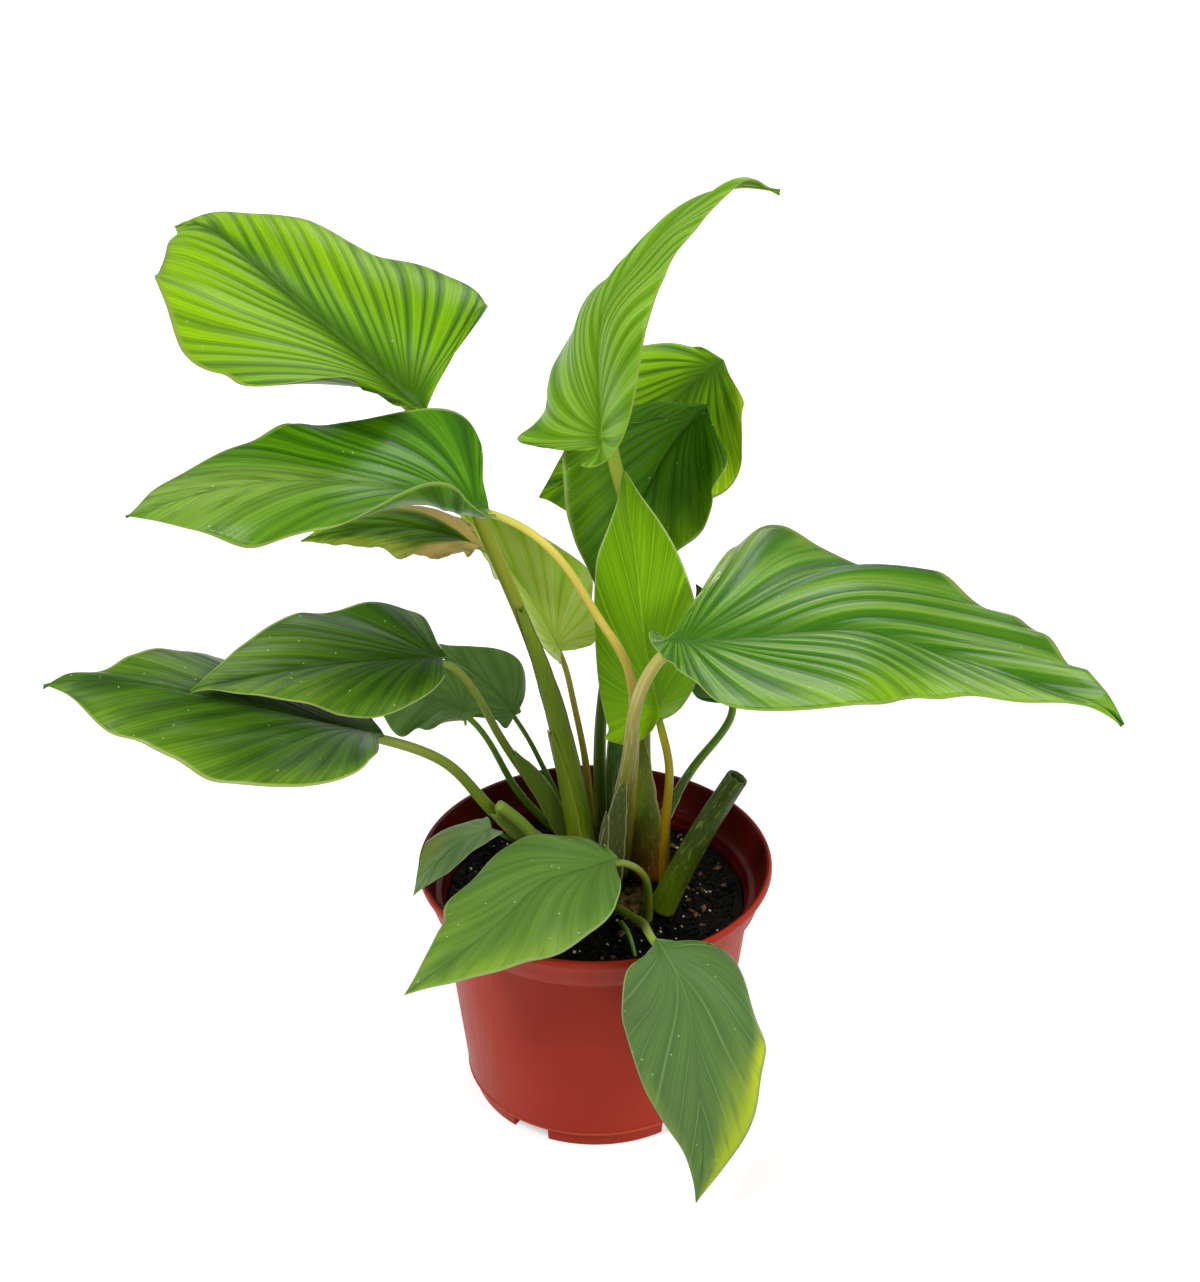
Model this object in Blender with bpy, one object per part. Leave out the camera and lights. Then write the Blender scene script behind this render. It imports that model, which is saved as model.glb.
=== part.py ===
"""A potted homalomena: a clump of stalked, heart-shaped leaves in a plastic nursery pot.

Metres, +Z up. The origin is the centre of the pot's underside, and the plant is
seen from -Y, its front. Lengths below are in millimetres and are scaled by MM.
"""

import math

import bpy
import bmesh
import numpy as np
from mathutils import Matrix, Vector

MM = 0.001
GAP = 0.3  # clearance between pieces that touch

# Pot: a 165 mm thin-walled nursery pot with a collar, a foot and five drain slots.
RIM_R = 82.5
POT_H = 123.0
COLLAR_H = 17.0
COLLAR_R = 77.0  # outer radius at the collar's lower edge
BODY_TOP_R = 73.0
BODY_LOW_R = 62.0
FOOT_R = 59.5
FOOT_H = 9.0
WALL = 1.5
SLOTS = 5
SLOT_DEG = 18
SLOT_H = 6.5
SLOT_IN_R = 47.0  # how far in under the floor a slot reaches
FIRST_SLOT_DEG = -31  # measured from the front, + to the right
POT_SEGMENTS = 60

# Soil, with the two rootstocks that the stalks spring from.
SOIL_TOP = 100.0
SOIL_MOUND = 2.0
ROOTSTOCKS = {  # centre and radii
    "rootstock_front": ((19, -3, 95), (14, 19, 8.5)),
    "rootstock_back": ((-6, 39, 95), (13, 20, 8.5)),
}

BLADE_THICK = 0.7
VEINS = 12  # strips from the base to the tip of a blade
ACROSS = 3  # strips from the midrib to the margin
STALK_SIDES = 8
STALK_STEPS = 9

# Half an outline, from the base to the tip: (along, across, back) for a blade of
# length and half-width 1. A side's lobe is how far its outline runs behind the base.
HALF_OUTLINE = [
    (0, 0, 0), (0, 0.20, 0.6), (0, 0.45, 1), (0, 0.72, 1.1), (0.08, 0.93, 0.8), (0.28, 1, 0.3),
    (0.48, 0.86, 0), (0.66, 0.61, 0), (0.82, 0.33, 0), (0.93, 0.12, 0), (1, 0, 0),
]
FAN = 0.16  # share of the veins that leave the midrib in a fan close to its base
FAN_REACH = 0.06  # how far along the midrib that fan goes, for a midrib of length 1

# Each leaf: its stalk's route from the soil, its radii at foot and top, the route of
# the midrib from base to tip, the blade's full width with each side's share of it,
# the lobe, the way its upper face looks at base, middle and tip as (bearing,
# elevation) with bearing 0 to the front and 90 to the right, and for each side the
# rise off that face at base and tip and the curl out to the margin, in degrees.
# The left side comes first, as seen on the upper face from the base.
LEAVES = {
    "upper_left": dict(
        stalk=[(-5, 22, 104), (-10, 24, 139), (-23, 26, 203), (-38, 27, 249), (-51, 31, 282), (-63, 35, 312)],
        radii=(7.0, 3.0),
        midrib=[(-74, 32, 333), (-103, 45, 356), (-130, 58, 375), (-149, 70, 388), (-168, 88, 396), (-179, 104, 393), (-187, 118, 383)],
        width=140, sides=(1.05, 1.0), lobe=(-0.1, -0.05),
        face=[(40, 50), (16, 42), (6, 47)], fold=((45, 0), (60, -18)), curl=(10, -90)),
    "mid_left": dict(
        stalk=[(13, 14, 104), (17, -5, 175), (17, -15, 215), (13, -18, 238), (2, -18, 258), (-11, -19, 282), (-27, -19, 300)],
        radii=(4.5, 2.6),
        midrib=[(-44, -20, 312), (-71, -26, 322), (-102, -42, 334), (-132, -53, 339), (-165, -64, 336), (-183, -76, 335)],
        width=98, sides=(1.05, 0.93), lobe=(-0.03, -0.03),
        face=[(6, 67), (325, 63), (342, 42)], fold=((32, -25), (3, -27)), curl=(34, 4)),
    "withered": dict(
        stalk=[(4, 33, 104), (-12, 35, 146), (-23, 37, 197), (-38, 37, 243)],
        radii=(2.0, 1.4),
        midrib=[(-51, 48, 261), (-75, 44, 271), (-100, 32, 278), (-129, 14, 280)],
        width=48, sides=(1, 1), lobe=(-0.09, -0.09),
        face=[(0, 62), (330, 42), (0, 65)], fold=((26, -4), (-5, -4)), curl=(28, -65)),
    "pale_folded": dict(
        stalk=[(-2, 42, 104), (-5, 48, 147), (-11, 53, 179)],
        radii=(3.0, 2.0),
        midrib=[(-16, 55, 203), (-28, 65, 221), (-41, 76, 237), (-55, 83, 252), (-67, 86, 263)],
        width=63, sides=(1.09, 0.92), lobe=(0.05, 0.05),
        face=[(42, 19), (38, -18), (44, 10)], fold=((36, 52), (-13, 6)), curl=(34, 14)),
    "tall_centre": dict(
        stalk=[(26, 14, 104), (21, 18, 143), (21, 24, 194), (20, 28, 244), (16, 28, 284)],
        radii=(7.0, 3.2),
        midrib=[(4, 24, 320), (2, 26, 354), (4, 32, 382), (13, 42, 398), (26, 54, 411), (42, 62, 420), (62, 68, 426), (79, 70, 421)],
        width=96, sides=(1.18, 0.85), lobe=(0.01, 0.01),
        face=[(313, 32), (308, 21), (276, 21)], fold=((48, -13), (48, 5)), curl=(-80, -35)),
    "young_centre": dict(
        stalk=[(33, -2, 104), (32, -6, 133), (33, -8, 159), (33, -9, 182)],
        radii=(4.0, 2.6),
        midrib=[(29, -6, 202), (22, 5, 235), (18, 14, 271), (14, 16, 299), (13, 14, 314)],
        width=61, sides=(0.95, 1.05), lobe=(0.04, 0.09),
        face=[(205, 50), (184, -8), (165, -13)], fold=((40, 16), (40, 30)), curl=(-28, 10)),
    "back_right": dict(
        stalk=[(3, 52, 103), (2, 62, 138), (4, 72, 171), (14, 92, 210), (35, 113, 254), (56, 122, 302)],
        radii=(4.5, 2.6),
        midrib=[(60, 114, 326), (42, 106, 314), (26, 99, 299), (2, 92, 283), (-27, 90, 266)],
        width=82, sides=(1.1, 0.9), lobe=(-0.05, -0.05),
        face=[(40, 55), (30, 44), (0, 30)], fold=((12, 8), (4, 6)), curl=(0, -30)),
    "back_dark": dict(
        stalk=[(9, 44, 104), (8, 52, 138), (11, 56, 175), (21, 61, 226), (39, 65, 276), (48, 65, 311)],
        radii=(4.5, 2.6),
        midrib=[(50, 62, 324), (39, 64, 311), (22, 58, 282), (11, 54, 258), (1, 54, 235)],
        width=104, sides=(0.8, 1.1), lobe=(-0.04, -0.07),
        face=[(5, 16), (12, 21), (2, 25)], fold=((34, 28), (18, 28)), curl=(8, 8)),
    "large_right": dict(
        stalk=[(6, 2, 104), (12, -14, 163), (16, -24, 201), (20, -30, 230)],
        radii=(6.0, 3.6),
        midrib=[(26, -28, 251), (72, -28, 256), (115, -24, 256), (148, -28, 247), (180, -46, 244), (216, -78, 244)],
        width=134, sides=(1.15, 0.88), lobe=(-0.13, -0.04),
        face=[(0, 66), (0, 62), (0, 57)], fold=((-6, -7), (23, 22)), curl=(-25, -1)),
    "hidden_right": dict(
        stalk=[(24, 30, 104), (37, 38, 129), (50, 46, 148)],
        radii=(3.2, 2.2),
        midrib=[(67, 55, 172), (62, 58, 196), (55, 64, 214), (48, 70, 230)],
        width=48, sides=(1, 1), lobe=(0.05, 0.05),
        face=[(20, 40), (20, 40), (20, 40)], fold=((8, 5), (8, 5)), curl=(-10, -10)),
    "low_left": dict(
        stalk=[(-12, 34, 104), (-24, 28, 135), (-36, 22, 160), (-46, 16, 183), (-56, 12, 207)],
        radii=(4.5, 2.2),
        midrib=[(-66, 9, 225), (-99, 2, 227), (-127, -12, 231), (-146, -29, 236), (-170, -52, 243)],
        width=70, sides=(1, 1), lobe=(-0.05, -0.05),
        face=[(350, 87), (342, 59), (337, 64)], fold=((28, 8), (9, 7)), curl=(-48, -9)),
    "far_left": dict(
        stalk=[(-16, 22, 104), (-31, 12, 125), (-49, 2, 149), (-66, -8, 178)],
        radii=(4.2, 2.4),
        midrib=[(-93, -20, 202), (-112, -23, 208), (-132, -30, 218), (-165, -44, 235), (-200, -54, 248), (-229, -56, 249)],
        width=103, sides=(1.14, 0.88), lobe=(-0.05, -0.05),
        face=[(18, 74), (9, 60), (0, 62)], fold=((40, -11), (-18, -16)), curl=(2, -31)),
    "small_left": dict(
        stalk=[(-14, 45, 104), (-27, 40, 120), (-41, 34, 145), (-50, 31, 167)],
        radii=(3.0, 2.0),
        midrib=[(-60, 28, 185), (-72, 26, 192), (-85, 22, 196), (-102, 16, 198)],
        width=44, sides=(1, 1), lobe=(0.03, 0.03),
        face=[(350, 65), (350, 60), (350, 60)], fold=((8, 4), (8, 4)), curl=(-10, -10)),
    "grey_left": dict(
        stalk=[(-12, 54, 104), (-19, 57, 121), (-26, 60, 136), (-33, 63, 150)],
        radii=(2.6, 1.8),
        midrib=[(-39, 62, 163), (-48, 60, 178), (-60, 58, 191), (-73, 55, 206)],
        width=40, sides=(1, 1), lobe=(0.04, 0.04),
        face=[(20, 30), (20, 30), (20, 30)], fold=((6, 4), (6, 4)), curl=(-10, -10)),
    "rim_left": dict(
        stalk=[(-22, 34, 104), (-31, 20, 118), (-41, 8, 128)],
        radii=(2.2, 1.5),
        midrib=[(-48, 0, 139), (-61, -10, 139), (-72, -22, 135), (-82, -32, 125)],
        width=30, sides=(1, 1), lobe=(0.03, 0.03),
        face=[(340, 60), (340, 55), (340, 50)], fold=((20, 6), (12, 6)), curl=(-10, -10)),
    "front_left": dict(
        stalk=[(24, -23, 104), (24, -30, 125), (19, -41, 144)],
        radii=(3.0, 2.2),
        midrib=[(10, -50, 157), (-2, -53, 154), (-22, -62, 152), (-41, -76, 141), (-62, -95, 134), (-79, -108, 127)],
        width=73, sides=(1.11, 0.9), lobe=(-0.03, -0.03),
        face=[(352, 81), (321, 31), (325, 47)], fold=((33, 8), (-12, 9)), curl=(-20, -25)),
    "front_hanging": dict(
        stalk=[(4, -13, 105), (9, -24, 111), (17, -44, 120), (22, -64, 130)],
        radii=(3.0, 2.2),
        midrib=[(27, -82, 136), (40, -94, 112), (43, -101, 92), (47, -108, 55), (48, -112, 16)],
        width=67, sides=(1.1, 0.88), lobe=(-0.08, -0.02),
        face=[(10, 88), (355, 22), (333, 31)], fold=((6, 12), (6, -9)), curl=(-48, -14)),
}

# Cut-off stalks and the thin sprout: route, radii at foot and top, and the depth of
# the hollow in the cut end.
STUBS = {
    "cut_stub_right": dict(route=[(31, -14, 104), (46, -14, 140), (64, -15, 176)], radii=(6.5, 5.0), hollow=14),
    "cut_stub_left": dict(route=[(-22, 10, 104), (-30, 3, 134), (-44, -4, 154)], radii=(3.6, 2.6), hollow=0),
    "sprout": dict(route=[(12, -26, 104), (15, -38, 107), (18, -54, 106)], radii=(1.4, 0.8), hollow=0),
}

# Base colours, as linear RGB, with roughness.
COLORS = {
    "terracotta_plastic": ((0.30, 0.035, 0.022), 0.4),
    "soil": ((0.018, 0.012, 0.008), 1.0),
    "rootstock": ((0.10, 0.06, 0.03), 0.9),
    "leaf_bright": ((0.28, 0.45, 0.06), 0.4),
    "leaf_green": ((0.10, 0.22, 0.05), 0.4),
    "leaf_withered": ((0.40, 0.26, 0.14), 0.8),
    "stalk_green": ((0.18, 0.24, 0.06), 0.5),
    "stalk_tan": ((0.36, 0.25, 0.10), 0.6),
}
BRIGHT = {"upper_left", "pale_folded", "tall_centre", "young_centre", "large_right"}
TAN_STALKS = {"mid_left", "young_centre", "large_right", "withered"}


def clear_scene():
    for obj in list(bpy.data.objects):
        bpy.data.objects.remove(obj, do_unlink=True)


def material(name):
    found = bpy.data.materials.get(name)
    if found:
        return found
    color, roughness = COLORS[name]
    new = bpy.data.materials.new(name)
    new.use_nodes = True
    shader = new.node_tree.nodes["Principled BSDF"]
    shader.inputs["Base Color"].default_value = (*color, 1)
    shader.inputs["Roughness"].default_value = roughness
    return new


def new_object(name, mesh, material_name):
    obj = bpy.data.objects.new(name, mesh)
    bpy.context.scene.collection.objects.link(obj)
    if material_name:
        obj.data.materials.append(material(material_name))
    return obj


def mesh_object(name, bm, material_name):
    bmesh.ops.recalc_face_normals(bm, faces=bm.faces)
    for face in bm.faces:
        face.smooth = True
    mesh = bpy.data.meshes.new(name)
    bm.to_mesh(mesh)
    bm.free()
    return new_object(name, mesh, material_name)


def smooth_curve(points, steps):
    """Natural cubic curve through the points, read at steps + 1 places."""
    pts = np.asarray(points, float)
    last = len(pts) - 1
    t = np.concatenate([[0], np.cumsum(np.linalg.norm(np.diff(pts, axis=0), axis=1))])
    t /= t[-1]
    h = np.diff(t)
    left, right = np.eye(last + 1), np.zeros_like(pts)
    for i in range(1, last):
        left[i, i - 1 : i + 2] = h[i - 1], 2 * (h[i - 1] + h[i]), h[i]
        right[i] = 6 * ((pts[i + 1] - pts[i]) / h[i] - (pts[i] - pts[i - 1]) / h[i - 1])
    bend = np.linalg.solve(left, right)
    u = np.linspace(0, 1, steps + 1)
    k = np.clip(np.searchsorted(t, u, side="right") - 1, 0, last - 1)
    a, b, w = (t[k + 1] - u)[:, None], (u - t[k])[:, None], h[k][:, None]
    return (
        (bend[k] * a**3 + bend[k + 1] * b**3) / (6 * w)
        + (pts[k] / w - bend[k] * w / 6) * a
        + (pts[k + 1] / w - bend[k + 1] * w / 6) * b
    )


def facing(bearing, elevation):
    b, e = math.radians(bearing), math.radians(elevation)
    return np.array([math.sin(b) * math.cos(e), -math.cos(b) * math.cos(e), math.sin(e)])


class Blade:
    """The middle surface of one leaf blade."""

    def __init__(self, leaf):
        self.leaf = leaf
        self.route = smooth_curve(leaf["midrib"], 200)
        steps = np.linalg.norm(np.diff(self.route, axis=0), axis=1)
        self.arc = np.concatenate([[0], np.cumsum(steps)])
        self.length = self.arc[-1]
        self.tangents = np.gradient(self.route, self.arc, axis=0)
        self.faces = np.array([facing(*way) for way in leaf["face"]])

    def frame_at(self, x):
        """Point, tangent, leftward and upper-face directions at x along the midrib."""
        inside = np.clip(x, 0, self.length)

        def read(places, values):
            return np.stack([np.interp(inside, places, values[:, i]) for i in range(3)], -1)

        def unit(v):
            return v / np.linalg.norm(v, axis=-1, keepdims=True)

        tangent = unit(read(self.arc, self.tangents))
        point = read(self.arc, self.route) + tangent * np.minimum(x, 0)[..., None]
        stations = np.linspace(0, self.length, len(self.faces))
        face = read(stations, self.faces)
        normal = unit(face - (face * tangent).sum(-1, keepdims=True) * tangent)
        return point, tangent, np.cross(normal, tangent), normal

    def side(self, which, veins, across):
        """Points of the left (0) or right (1) half: one row along each vein."""
        leaf = self.leaf
        out_x, out_y, back = np.array(HALF_OUTLINE, float).T
        outline = smooth_curve(np.c_[out_x - back * leaf["lobe"][which], out_y, 0 * back], veins)
        a = np.linspace(0, 1, veins + 1)
        b = np.linspace(0, 1, across + 1)[None, :]
        beyond = np.clip((a - FAN) / (1 - FAN), 0, 1) ** 1.15
        root = self.length * (FAN_REACH * np.clip(a / FAN, 0, 1) + (1 - FAN_REACH) * beyond)
        reach = outline[:, 0] * self.length
        spread = np.maximum(outline[:, 1], 0) * leaf["width"] / 2 * leaf["sides"][which]
        along = (1 - b) ** 2 * root[:, None] + b**2 * reach[:, None]
        along += 2 * b * (1 - b) * (root + 0.3 * (reach - root))[:, None]
        out = (2 * b * (1 - b) * 0.62 + b**2) * spread[:, None]
        point, _, leftward, normal = self.frame_at(along)
        at_base, at_tip = leaf["fold"][which]
        x = np.clip(along / self.length, 0, 1)
        fold = np.radians(at_base + (at_tip - at_base) * x)
        curl = math.radians(leaf["curl"][which] or 0.01) / (leaf["width"] / 2)
        away = (np.sin(fold + curl * out) - np.sin(fold)) / curl
        rise = (np.cos(fold) - np.cos(fold + curl * out)) / curl
        sign = 1 if which == 0 else -1
        return point + leftward * (sign * away)[..., None] + normal * rise[..., None]


def blade(name, leaf, material_name):
    surface = Blade(leaf)
    bm = bmesh.new()
    for which in (0, 1):
        grid = surface.side(which, VEINS, ACROSS) * MM
        verts = [[bm.verts.new(p) for p in row] for row in grid]
        for low, high in zip(verts, verts[1:]):
            for j in range(ACROSS):
                bm.faces.new((low[j], low[j + 1], high[j + 1], high[j]))
    bmesh.ops.remove_doubles(bm, verts=bm.verts, dist=1e-5)
    obj = mesh_object(name, bm, material_name)
    solid = obj.modifiers.new("Thickness", "SOLIDIFY")
    solid.thickness = BLADE_THICK * MM
    solid.offset = 0
    return surface


def rings_to_object(name, rings, material_name):
    """One closed solid through a list of rings, capped at both ends."""
    bm = bmesh.new()
    loops = [[bm.verts.new(p * MM) for p in ring] for ring in rings]
    count = len(loops[0])
    for low, high in zip(loops, loops[1:]):
        for i in range(count):
            j = (i + 1) % count
            bm.faces.new((low[i], low[j], high[j], high[i]))
    bm.faces.new(loops[0][::-1])
    bm.faces.new(loops[-1])
    return mesh_object(name, bm, material_name)


def ring(point, tangent, radius):
    turn = Vector(tangent).to_track_quat("Z", "Y")
    angles = [2 * math.pi * i / STALK_SIDES for i in range(STALK_SIDES)]
    return [Vector(point) + turn @ Vector((radius * math.cos(a), radius * math.sin(a), 0)) for a in angles]


def stalk(name, route, radii, material_name, hollow=0):
    """A tapering round stalk along the route; hollow is the depth of a hole in its end."""
    centre = smooth_curve(route, STALK_STEPS)
    tangents = np.gradient(centre, axis=0)
    shares = np.linspace(0, 1, STALK_STEPS + 1)
    sizes = radii[0] + (radii[1] - radii[0]) * shares**0.7
    rings = [ring(p, t, r) for p, t, r in zip(centre, tangents, sizes)]
    if hollow:
        end = Vector(tangents[-1]).normalized()
        bore = sizes[-1] * 0.62
        rings.append(ring(centre[-1], end, bore))
        rings.append(ring(Vector(centre[-1]) - end * hollow, end, bore))
    return rings_to_object(name, rings, material_name)


def pot():
    floor = WALL + 0.5
    profile = [
        (0, 0), (FOOT_R - 1, 0), (FOOT_R, 1), (FOOT_R + 0.3, FOOT_H - 1), (BODY_LOW_R, FOOT_H + 0.5),
        (BODY_TOP_R, POT_H - COLLAR_H), (COLLAR_R, POT_H - COLLAR_H + 0.6),
        (RIM_R - 1.2, POT_H - 4), (RIM_R - 0.2, POT_H - 3), (RIM_R, POT_H - 1.5), (RIM_R - 0.8, POT_H - 0.2),
        (RIM_R - 1.8, POT_H), (RIM_R - 2.8, POT_H - 0.8), (COLLAR_R - WALL + 0.4, POT_H - COLLAR_H + 3),
        (COLLAR_R - WALL - 1, POT_H - COLLAR_H + 1.6), (BODY_TOP_R - WALL, POT_H - COLLAR_H - 0.4),
        (BODY_LOW_R - WALL, FOOT_H + 1), (FOOT_R - WALL, FOOT_H - 1), (FOOT_R - WALL - 1, floor), (0, floor),
    ]
    bm = bmesh.new()
    verts = [bm.verts.new((r * MM, 0, z * MM)) for r, z in profile]
    edges = [bm.edges.new(pair) for pair in zip(verts, verts[1:])]
    bmesh.ops.spin(
        bm, geom=verts + edges, cent=(0, 0, 0), axis=(0, 0, 1), angle=2 * math.pi, steps=POT_SEGMENTS,
    )
    bmesh.ops.remove_doubles(bm, verts=bm.verts, dist=1e-6)
    obj = mesh_object("pot", bm, "terracotta_plastic")

    cutter = bmesh.new()
    for i in range(SLOTS):
        middle = FIRST_SLOT_DEG + i * 360 / SLOTS
        sides = [math.radians(middle + d) for d in (-SLOT_DEG / 2, 0, SLOT_DEG / 2)]
        outer = [(math.sin(a) * (FOOT_R + 6), -math.cos(a) * (FOOT_R + 6)) for a in sides]
        inner = [(math.sin(a) * SLOT_IN_R, -math.cos(a) * SLOT_IN_R) for a in reversed(sides)]
        outline = outer + inner
        low = [cutter.verts.new((x * MM, y * MM, -2 * MM)) for x, y in outline]
        high = [cutter.verts.new((x * MM, y * MM, SLOT_H * MM)) for x, y in outline]
        for j in range(len(low)):
            k = (j + 1) % len(low)
            cutter.faces.new((low[j], low[k], high[k], high[j]))
        cutter.faces.new(low[::-1])
        cutter.faces.new(high)
    cut(obj, mesh_object("slot_cutter", cutter, None))


def cut(obj, cutter):
    cutter.hide_render = True
    cutter.display_type = "WIRE"
    boolean = obj.modifiers.new("Cut", "BOOLEAN")
    boolean.operation = "DIFFERENCE"
    boolean.object = cutter


def ellipsoid(name, centre, radii, material_name):
    bm = bmesh.new()
    bmesh.ops.create_icosphere(bm, subdivisions=2, radius=1)
    size = Matrix.Diagonal((*[r * MM for r in radii], 1))
    place = Matrix.Translation([c * MM for c in centre])
    bmesh.ops.transform(bm, matrix=place @ size, verts=bm.verts)
    return mesh_object(name, bm, material_name)


def soil():
    """Fills the pot to its top level, a little mounded, with a pocket for each rootstock."""
    floor = WALL + 0.5 + GAP
    wall = WALL + GAP
    profile = [
        (0, floor), (FOOT_R - wall - 1.2, floor), (FOOT_R - wall - 0.2, FOOT_H - 1), (BODY_LOW_R - wall - 0.2, FOOT_H + 1.5),
        (BODY_LOW_R - wall - 0.4 + (BODY_TOP_R - BODY_LOW_R) * 0.92, SOIL_TOP - 1.5),
        (55, SOIL_TOP), (30, SOIL_TOP + 0.6 * SOIL_MOUND), (0, SOIL_TOP + SOIL_MOUND),
    ]
    bm = bmesh.new()
    verts = [bm.verts.new((r * MM, 0, z * MM)) for r, z in profile]
    edges = [bm.edges.new(pair) for pair in zip(verts, verts[1:])]
    bmesh.ops.spin(bm, geom=verts + edges, cent=(0, 0, 0), axis=(0, 0, 1), angle=2 * math.pi, steps=32)
    bmesh.ops.remove_doubles(bm, verts=bm.verts, dist=1e-6)
    obj = mesh_object("soil", bm, "soil")
    for name, (centre, radii) in ROOTSTOCKS.items():
        ellipsoid(name, centre, radii, "rootstock")
        room = [r + 2 * GAP for r in radii]
        cut(obj, ellipsoid(name + "_pocket", centre, room, None))


def leaves():
    for name, leaf in LEAVES.items():
        if name == "withered":
            finish = "leaf_withered"
        else:
            finish = "leaf_bright" if name in BRIGHT else "leaf_green"
        surface = blade(name + "_blade", leaf, finish)
        point, tangent, _, normal = surface.frame_at(np.array(0.0))
        # The stalk ends just under the blade's base, where the midrib takes over.
        under = point - normal * (leaf["radii"][1] + BLADE_THICK) - tangent * GAP
        tint = "stalk_tan" if name in TAN_STALKS else "stalk_green"
        stalk(name + "_stalk", [*leaf["stalk"], under], leaf["radii"], tint)


def stubs():
    for name, stub in STUBS.items():
        stalk(name, stub["route"], stub["radii"], "stalk_green", stub["hollow"])


clear_scene()
pot()
soil()
leaves()
stubs()
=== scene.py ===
"""The looks of the potted homalomena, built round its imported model.

Metres, +Z up, with the origin at the centre of the pot's underside and the front
towards -Y. Lengths below are in millimetres and are scaled by MM, as in the
model's own source, whose leaf table this file repeats.
"""

import math
import random

import bpy
import numpy as np
from mathutils import Matrix, Vector, noise


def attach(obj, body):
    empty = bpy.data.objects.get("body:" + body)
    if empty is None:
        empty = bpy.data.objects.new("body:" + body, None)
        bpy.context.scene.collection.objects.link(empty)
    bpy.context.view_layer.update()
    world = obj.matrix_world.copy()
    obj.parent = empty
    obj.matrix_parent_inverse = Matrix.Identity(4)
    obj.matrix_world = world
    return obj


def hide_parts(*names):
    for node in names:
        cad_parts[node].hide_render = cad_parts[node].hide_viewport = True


MM = 0.001
WELD, SLIVER = 0.02, 0.01  # mm: points this close are merged, and faces this thin go

# Pot: a 165 mm thin-walled nursery pot with a collar, a foot and five drain slots.
RIM_R = 82.5
POT_H = 123.0
COLLAR_H = 17.0
COLLAR_R = 77.0  # outer radius at the collar's lower edge
BODY_TOP_R = 73.0
BODY_LOW_R = 62.0
FOOT_R = 59.5
FOOT_H = 9.0
WALL = 1.5
SLOTS = 5
SLOT_DEG = 18
SLOT_H = 6.5
SLOT_IN_R = 47.0  # how far in under the floor a slot reaches
FIRST_SLOT_DEG = -31  # measured from the front, + to the right
POT_SEGMENTS = 144
RIDGE_Z = FOOT_H - 0.3  # the moulded ridge where the wall meets the foot
FLOOR_Z = WALL + 0.5
FLOOR_HOLE_R = 20  # where the wall's profile ends, short of the axis; two discs close it
SLOT_PAST, SLOT_BELOW = 6, 2  # how far a slot's cutter reaches out past the foot, and below
SMOOTH_DEG = 35  # edges sharper than this stay sharp
INSIDE_FROM_Z = 20  # above this, faces that look inwards have the darker inner finish, which paints the shade inside the pot

# Soil, with the two rootstocks that the stalks spring from.
SOIL_TOP = 100.0
SOIL_MOUND = 2.0
SOIL_R = BODY_TOP_R - 3.4
SOIL_SIDE = [(FOOT_R + 6, 70), (FOOT_R - 2, FOOT_H + 2), (FOOT_R - 3, 3), (0, 3)]  # radius, height
SOIL_RINGS, SOIL_SPOKES = 100, 300
MOUND_R = 70
LUMP_WIDE, LUMP_HIGH = 14, 2.2  # of the soil's broad lumps
CRUMBS = ((2.4, 1.3, 9), (1.3, 1.1, 5))  # coarse and fine crumbs: width, height and seed
LUMP_UNEVEN = (0.65, 1.25)  # how much nearer or further a loose lump's corners are
ROOTSTOCKS = {  # centre and radii
    "rootstock_front": ((19, -3, 95), (14, 19, 8.5)),
    "rootstock_back": ((-6, 39, 95), (13, 20, 8.5)),
}

# What lies on the soil: a piece's name, then its material as (name, dark and light
# colour, roughness, noise scale), a lump's seed and stretch, how many there are, the
# smallest and largest radius in mm, and the seed that strews them.
SOIL_BITS = [
    ("peat_crumbs", ("crumbly_peat", "#030202", "#17100A", 0.75, 900), (1, (1, 1, 1)),
     1900, (0.4, 1.7), 11),
    ("bark_chips", ("composted_bark", "#3A2415", "#8A6546", 0.75, 500), (5, (1.7, 1.0, 0.8)),
     110, (0.5, 1.8), 12),
    ("perlite_grains", ("expanded_perlite", "#C0A98A", "#F2E8D2", 0.7, 900), (7, (1, 1, 1)),
     170, (0.25, 0.95), 13),
]
SCATTER_R = (8, 66)  # they lie between these radii

# Half an outline, from the base to the tip: (along, across, back) for a blade of
# length and half-width 1. A side's lobe is how far its outline runs behind the base.
HALF_OUTLINE = [
    (0, 0, 0), (0, 0.20, 0.6), (0, 0.45, 1), (0, 0.72, 1.1), (0.08, 0.93, 0.8), (0.28, 1, 0.3),
    (0.48, 0.86, 0), (0.66, 0.61, 0), (0.82, 0.33, 0), (0.93, 0.12, 0), (1, 0, 0),
]
FAN_REACH = 0.06  # share of the midrib, from its base, that its fan of side veins leaves

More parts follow.
